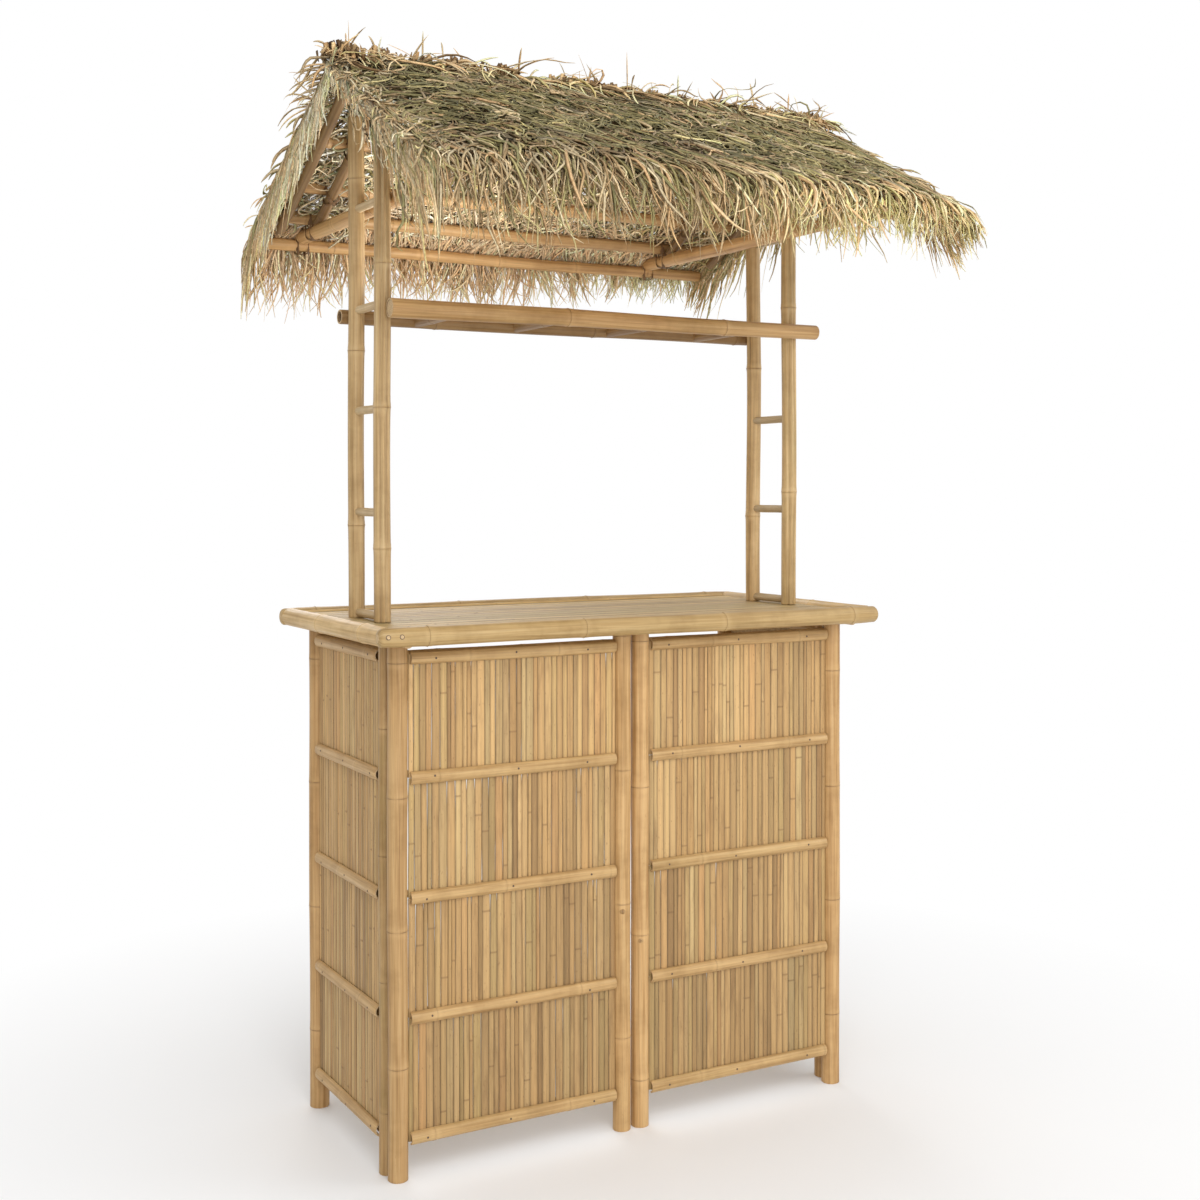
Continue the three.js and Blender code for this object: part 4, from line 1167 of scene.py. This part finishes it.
# How light each layer is on the back slope and on the front one, its main straws painted lighter on the
# back slope as painted light on the underside, and the painted shade of its roots, where they lie under
# other straws.
levels = ({"main": 0.754, "tangle": 0.70}, {"main": 0.58, "tangle": 0.70, "fringe": 0.72})
painted_root_shades = ({"under": 0.95, "fringe": 0.75, "loop_left": 0.95, "loop_right": 0.9},
         {"under": 0.95, "fringe": 0.45, "loop_left": 0.95, "loop_right": 0.9})
other_painted_root_shades = (0.62, 0.32)
# Under straws, left loops and the curtain are painted lighter towards the left: painted light on the
# underside there.
painted_left_light = np.array((0.12, 0.28, 0.50))
for number, (side, toward) in enumerate(slopes.items()):
    dice = np.random.RandomState(700 + number)
    at_front = side == "front"
    paths, widths, shades, root_shade_rows = [], [], [], []
    for kind, (n, xs, runs, lifts, lengths, spread, curl) in layers.items():
        n = n if at_front else round(n * back_shares.get(kind, 1))
        x, run = dice.uniform(*xs, n), dice.uniform(*runs, n)
        if kind in back_shares and not at_front:
            x = xs[0] + (xs[1] - xs[0]) * ((x - xs[0]) / (xs[1] - xs[0])) ** back_crowding
        heading = headings.get(kind, common_heading) + dice.normal(0, spread, n)
        reach = dice.uniform(*rag_reaches, n) * kind.startswith("rag")
        curls = curl * dice.uniform(*curl_shares, n)
        length = dice.uniform(*lengths, n)
        if at_front:
            margin = share_past(-x, 0.50, 0.08)
            curls = np.minimum(curls * (1 + 1.4 * share_past(-x, 0.1, 0.4)), most_curl)
            length = length * (1 - margin * np.clip(0.8 - 2 * run, 0, 0.55))
            heading = heading + 0.2 * margin * np.clip(1 - 2.2 * run, 0, 1)
        tan_share = tan_shares.get(kind)
        if kind == "main":
            tan_share = 0.14 + 0.12 * waves(x, run, 9) + 0.6 * share_past(run, 0.38, 0.12)
            tan_share = tan_share + 0.45 * share_past(-run, -0.12, 0.08)
        lift = dice.uniform(*lifts, n)
        paths.append(lay(dice, toward, x, run, lift, length, heading, curls, 70 + number, reach))
        widths.append(dice.uniform(*straw_widths, n))
        # The dark layer takes brown: painted shade between the straws.
        shade = pick(dice, brown, n) if kind == "dark" else mixed(dice, n, tan_share)
        # Under straws and the back fringe take painted light.
        if kind == "under" or kind == "fringe" and not at_front:
            shade = pick(dice, painted_backlight_tan, n)
        shade = shade * levels[number].get(kind, 1.0)
        if kind in ("main", "tangle", "fringe"):
            middle, gain = (-0.22, 0.8) if kind == "fringe" and at_front else (0.0, 0.38)
            shade = shade * (1 + gain * share_past(x, middle, 0.5))[:, None]
        if kind in ("under", "loop_left", "curtain"):
            shade = shade * (1 + share_past(-x, 0, 0.4)[:, None] * painted_left_light)
        if kind in ("main", "tangle"):
            shade = shade * (1 - 0.18 * share_past(run, 0.30, 0.1))[:, None]
        shades.append(shade)
        root_shade_rows.append(np.full(n, painted_root_shades[number].get(kind, other_painted_root_shades[number])))
    path, width, shade, dark = (np.concatenate(v) for v in (paths, widths, shades, root_shade_rows))
    for k, chosen in enumerate(np.array_split(np.argsort(path[:, 0, 0]), slices)):
        blade = blades(path[chosen], width[chosen], shade[chosen], dark[chosen], dice, straw_steps)
        bundle = straw_piece(f"thatch_{side}_straw_{k + 1}", [blade], straw_finish)
        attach(bundle, "root")
        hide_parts("thatch_" + side)

# Ridge. The courses meet under a cap of grass that is folded over the ridge pole, and the dark cut
# ends of its stems stand up out of it in tufts.
fold_count, stub_count, wild_count, tuft_count = 900, 800, 190, 54
fold_steps, stub_steps = 8, 3
loose_count, loose_place = 26, -0.62
ridge_top = ridge_line + under_rise
ridge_half, ridge_knee, ridge_limit, ridge_highest = 0.63, 0.628, 0.682, 2.368
fold_light, stub_light = 1.38, 1.4
# The lengths and the widths of folded straws, of stem ends and of wild straws.
fold_sizes, stub_sizes = ((0.07, 0.20), (0.004, 0.0074)), ((0.012, 0.036), (0.007, 0.015))
wild_sizes = ((0.05, 0.13), (0.0028, 0.0052))
# How high over the ridge the folds start and lie, and the feet of the stem ends and the wild straws.
fold_starts, fold_rise, stub_rise, wild_rise, loose_rise = (0.006, 0.024), 0.016, 0.019, 0.015, 0.005
end_tufts = (-0.625, -0.605, 0.60, -0.575)


def drawn_in(path):
    """Ridge straws, with those past the gables drawn in."""
    path = np.stack(path, axis=1)
    path[..., 0] = eased(path[..., 0], ridge_knee, ridge_limit)
    return path


# Folded straws, from one side of the ridge over to the other.
dice = np.random.RandomState(760)
n = fold_count
side = np.where(dice.uniform(0, 1, n) < 0.5, -1.0, 1.0)
x = dice.uniform(-ridge_half, ridge_half, n)
place = np.stack((x, -side * dice.uniform(0.0, 0.02, n), ridge_top + dice.uniform(*fold_starts, n)), 1)
length = dice.uniform(*fold_sizes[0], n)
heading = dice.normal(0.35, 0.6, n)
phase, curl = dice.uniform(*any_turn, n), dice.uniform(0.2, 1.1, n)
path = [place.copy()]
for k in range(fold_steps):
    t = (k + 0.5) / fold_steps
    way = heading + curl * np.sin(phase + 5 * t)
    tilt = np.radians(-10 + 46 * min(1, t * 1.8)) + 0.2 * np.sin(phase * 2 + 4 * t)
    step = np.stack((np.sin(way), side * np.cos(way) * np.cos(tilt), -np.cos(way) * np.sin(tilt)), 1)
    place = place + unit(step) * (length / fold_steps)[:, None]
    lowest = ridge_top + fold_rise - np.abs(place[:, 1]) * slope_fall + 0.004 * np.sin(phase)
    place[:, 2] = np.maximum(place[:, 2], lowest)
    path.append(place.copy())
path = drawn_in(path)
share = dice.uniform(0, 1, (n, 1))
tans, olives, browns = (pick(dice, palette, n) for palette in (tan, olive, brown))
shade = np.where(share < 0.55, tans, np.where(share < 0.75, olives, browns)) * fold_light
folds = blades(path, dice.uniform(*fold_sizes[1], n), shade, 0.5, dice, fold_steps)
# Stem ends, in tufts.
n = stub_count
tufts = dice.uniform(-0.635, 0.635, tuft_count)
tufts[:len(end_tufts)] = end_tufts
lean = dice.normal(0, 0.35, tuft_count)
own_tuft = (tuft_count * dice.uniform(0, 1, n) ** 1.25).astype(int)
x = tufts[own_tuft] + dice.normal(0, 0.010, n)
y = dice.normal(0, 0.014, n)
foot = np.stack((x, y, ridge_top + stub_rise - np.abs(y) * 0.5), 1)
aim = unit(np.stack((lean[own_tuft] + dice.normal(-0.1, 0.3, n), dice.normal(0, 0.3, n) + y * 14,
                     dice.uniform(0.7, 1.1, n)), 1))
length = dice.uniform(*stub_sizes[0], n) * (1 - 0.3 * share_past(x, -0.2, 0.4))
path = drawn_in([foot + aim * (length * k / stub_steps)[:, None] for k in range(stub_steps + 1)])
widths = dice.uniform(*stub_sizes[1], n)
stubs = blades(path, widths, pick(dice, brown, n, 0.35) * stub_light, 0.8, dice, stub_steps, 1.0)
# Wild straws, the first of them loose at the left gable.
n = wild_count
foot = np.stack((dice.uniform(-ridge_half, ridge_half, n), dice.normal(0, 0.02, n),
                 np.full(n, ridge_top + wild_rise)), 1)
aim = unit(np.stack((dice.normal(0.0, 0.8, n), dice.normal(0, 0.5, n), dice.uniform(0.15, 0.9, n)), 1))
down_slope = dice.uniform(0.0, 0.13, n)
loose_foot = np.stack((np.full(n, loose_place), down_slope,
                       ridge_top + loose_rise - down_slope * slope_fall), 1)
loose_aim = unit(np.stack((-dice.uniform(0.2, 1, n), dice.uniform(-0.1, 1, n),
                           dice.uniform(-0.1, 0.5, n)), 1))
foot[:loose_count], aim[:loose_count] = loose_foot[:loose_count], loose_aim[:loose_count]
length, droop = dice.uniform(*wild_sizes[0], n), dice.uniform(0.1, 0.6, n)
path = []
for t in np.arange(fold_steps + 1) / fold_steps:
    path.append(foot + aim * (length * t)[:, None])
    path[-1][:, 2] -= droop * length * t ** 2
path = drawn_in(path)
path[..., 2] = np.minimum(path[..., 2], ridge_highest)
wild = blades(path, dice.uniform(*wild_sizes[1], n), pick(dice, tan, n), 0.7, dice, fold_steps)
cap = straw_piece("ridge_straw", [folds, stubs, wild], straw_finish)
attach(cap, "root")
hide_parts("thatch_ridge_cap")

# Studio. A plain pale floor and a white surround. Broad lamps stand in front, at the right and behind,
# and one inside the roof, above the rack, lights the underside of the thatch.
floor_reach = 30.0
# The floor keeps its shade this near to the bar, and has faded into the white this far from it.
shade_near, white_far = 0.7, 1.9
white = (1, 1, 1, 1)


def reckon(tree, operation, one, two):
    """The result of a sum on two values."""
    node = tree.nodes.new("ShaderNodeMath")
    node.operation = operation
    tree.links.new(one, node.inputs[0])
    tree.links.new(two, node.inputs[1])
    return node.outputs["Value"]


def looked_at(tree):
    """One where the eye sees a thing, straight or by a gloss or through glass, and nought for light."""
    rays = tree.nodes.new("ShaderNodeLightPath").outputs
    share = reckon(tree, "MAXIMUM", rays["Is Camera Ray"], rays["Is Glossy Ray"])
    return reckon(tree, "MAXIMUM", share, rays["Is Transmission Ray"])


def show(tree, share, under, over, output):
    """Shows under, and over it this share of over."""
    both = tree.nodes.new("ShaderNodeMixShader")
    tree.links.new(share, both.inputs["Fac"])
    tree.links.new(under, both.inputs[1])
    tree.links.new(over, both.inputs[2])
    tree.links.new(both.outputs["Shader"], tree.nodes[output].inputs["Surface"])


floor_mesh = bpy.data.meshes.new("studio_floor")
corners = [(floor_reach * x, floor_reach * y, 0) for x, y in ((-1, -1), (1, -1), (1, 1), (-1, 1))]
floor_mesh.from_pydata(corners, [], [(0, 1, 2, 3)])
floor = stand("studio_floor", floor_mesh)
floor_finish, tree, shader = finish_nodes("studio_floor")
shader.inputs["Base Color"].default_value = (0.86, 0.86, 0.86, 1)
shader.inputs["Roughness"].default_value = 0.9
glow = tree.nodes.new("ShaderNodeEmission")
glow.inputs["Color"].default_value = white
place = tree.nodes.new("ShaderNodeNewGeometry")
distance = tree.nodes.new("ShaderNodeVectorMath")
distance.operation = "LENGTH"
tree.links.new(place.outputs["Position"], distance.inputs[0])
fade = tree.nodes.new("ShaderNodeMapRange")
fade.inputs["From Min"].default_value = shade_near
fade.inputs["From Max"].default_value = white_far
tree.links.new(distance.outputs["Value"], fade.inputs["Value"])
white_share = reckon(tree, "MULTIPLY", looked_at(tree), fade.outputs["Result"])
show(tree, white_share, shader.outputs["BSDF"], glow.outputs["Emission"], "Material Output")
floor_mesh.materials.append(floor_finish)

world = bpy.data.worlds.new("studio_white")
bpy.context.scene.world = world
world.use_nodes = True
tree = world.node_tree
ambient, backdrop = tree.nodes["Background"], tree.nodes.new("ShaderNodeBackground")
for sky, strength in ((ambient, 0.7), (backdrop, 1)):
    sky.inputs["Color"].default_value = white
    sky.inputs["Strength"].default_value = strength
show(tree, looked_at(tree), ambient.outputs["Background"], backdrop.outputs["Background"], "World Output")

middle_height = (0, 0, 1.15)
lamps = {
    # Where it stands and points, its size in metres and its power in watts.
    "front_lamp": ((-1.5, -3.3, 3.5), middle_height, 2.2, 60),
    "right_lamp": ((3.6, -2.0, 2.6), middle_height, 2.4, 36),
    "back_lamp": ((0.6, 4.2, 3.2), middle_height, 2.6, 60),
    "fill_lamp": ((-0.6, -4.4, 1.3), middle_height, 3.0, 60),
    "roof_lamp": ((-0.16, 0.0, 1.83), (-0.26, 0.07, 2.4), 0.44, 4.0),
}
for name, (place, aim, size, power) in lamps.items():
    lamp = bpy.data.lights.new(name, "AREA")
    lamp.shape = "SQUARE"
    lamp.size = size
    lamp.energy = power
    light = stand(name, lamp)
    light.location = place
    light.rotation_euler = (Vector(aim) - Vector(place)).to_track_quat("-Z", "Y").to_euler()
    light.visible_camera = False
bpy.context.scene.view_settings.view_transform = "Standard"
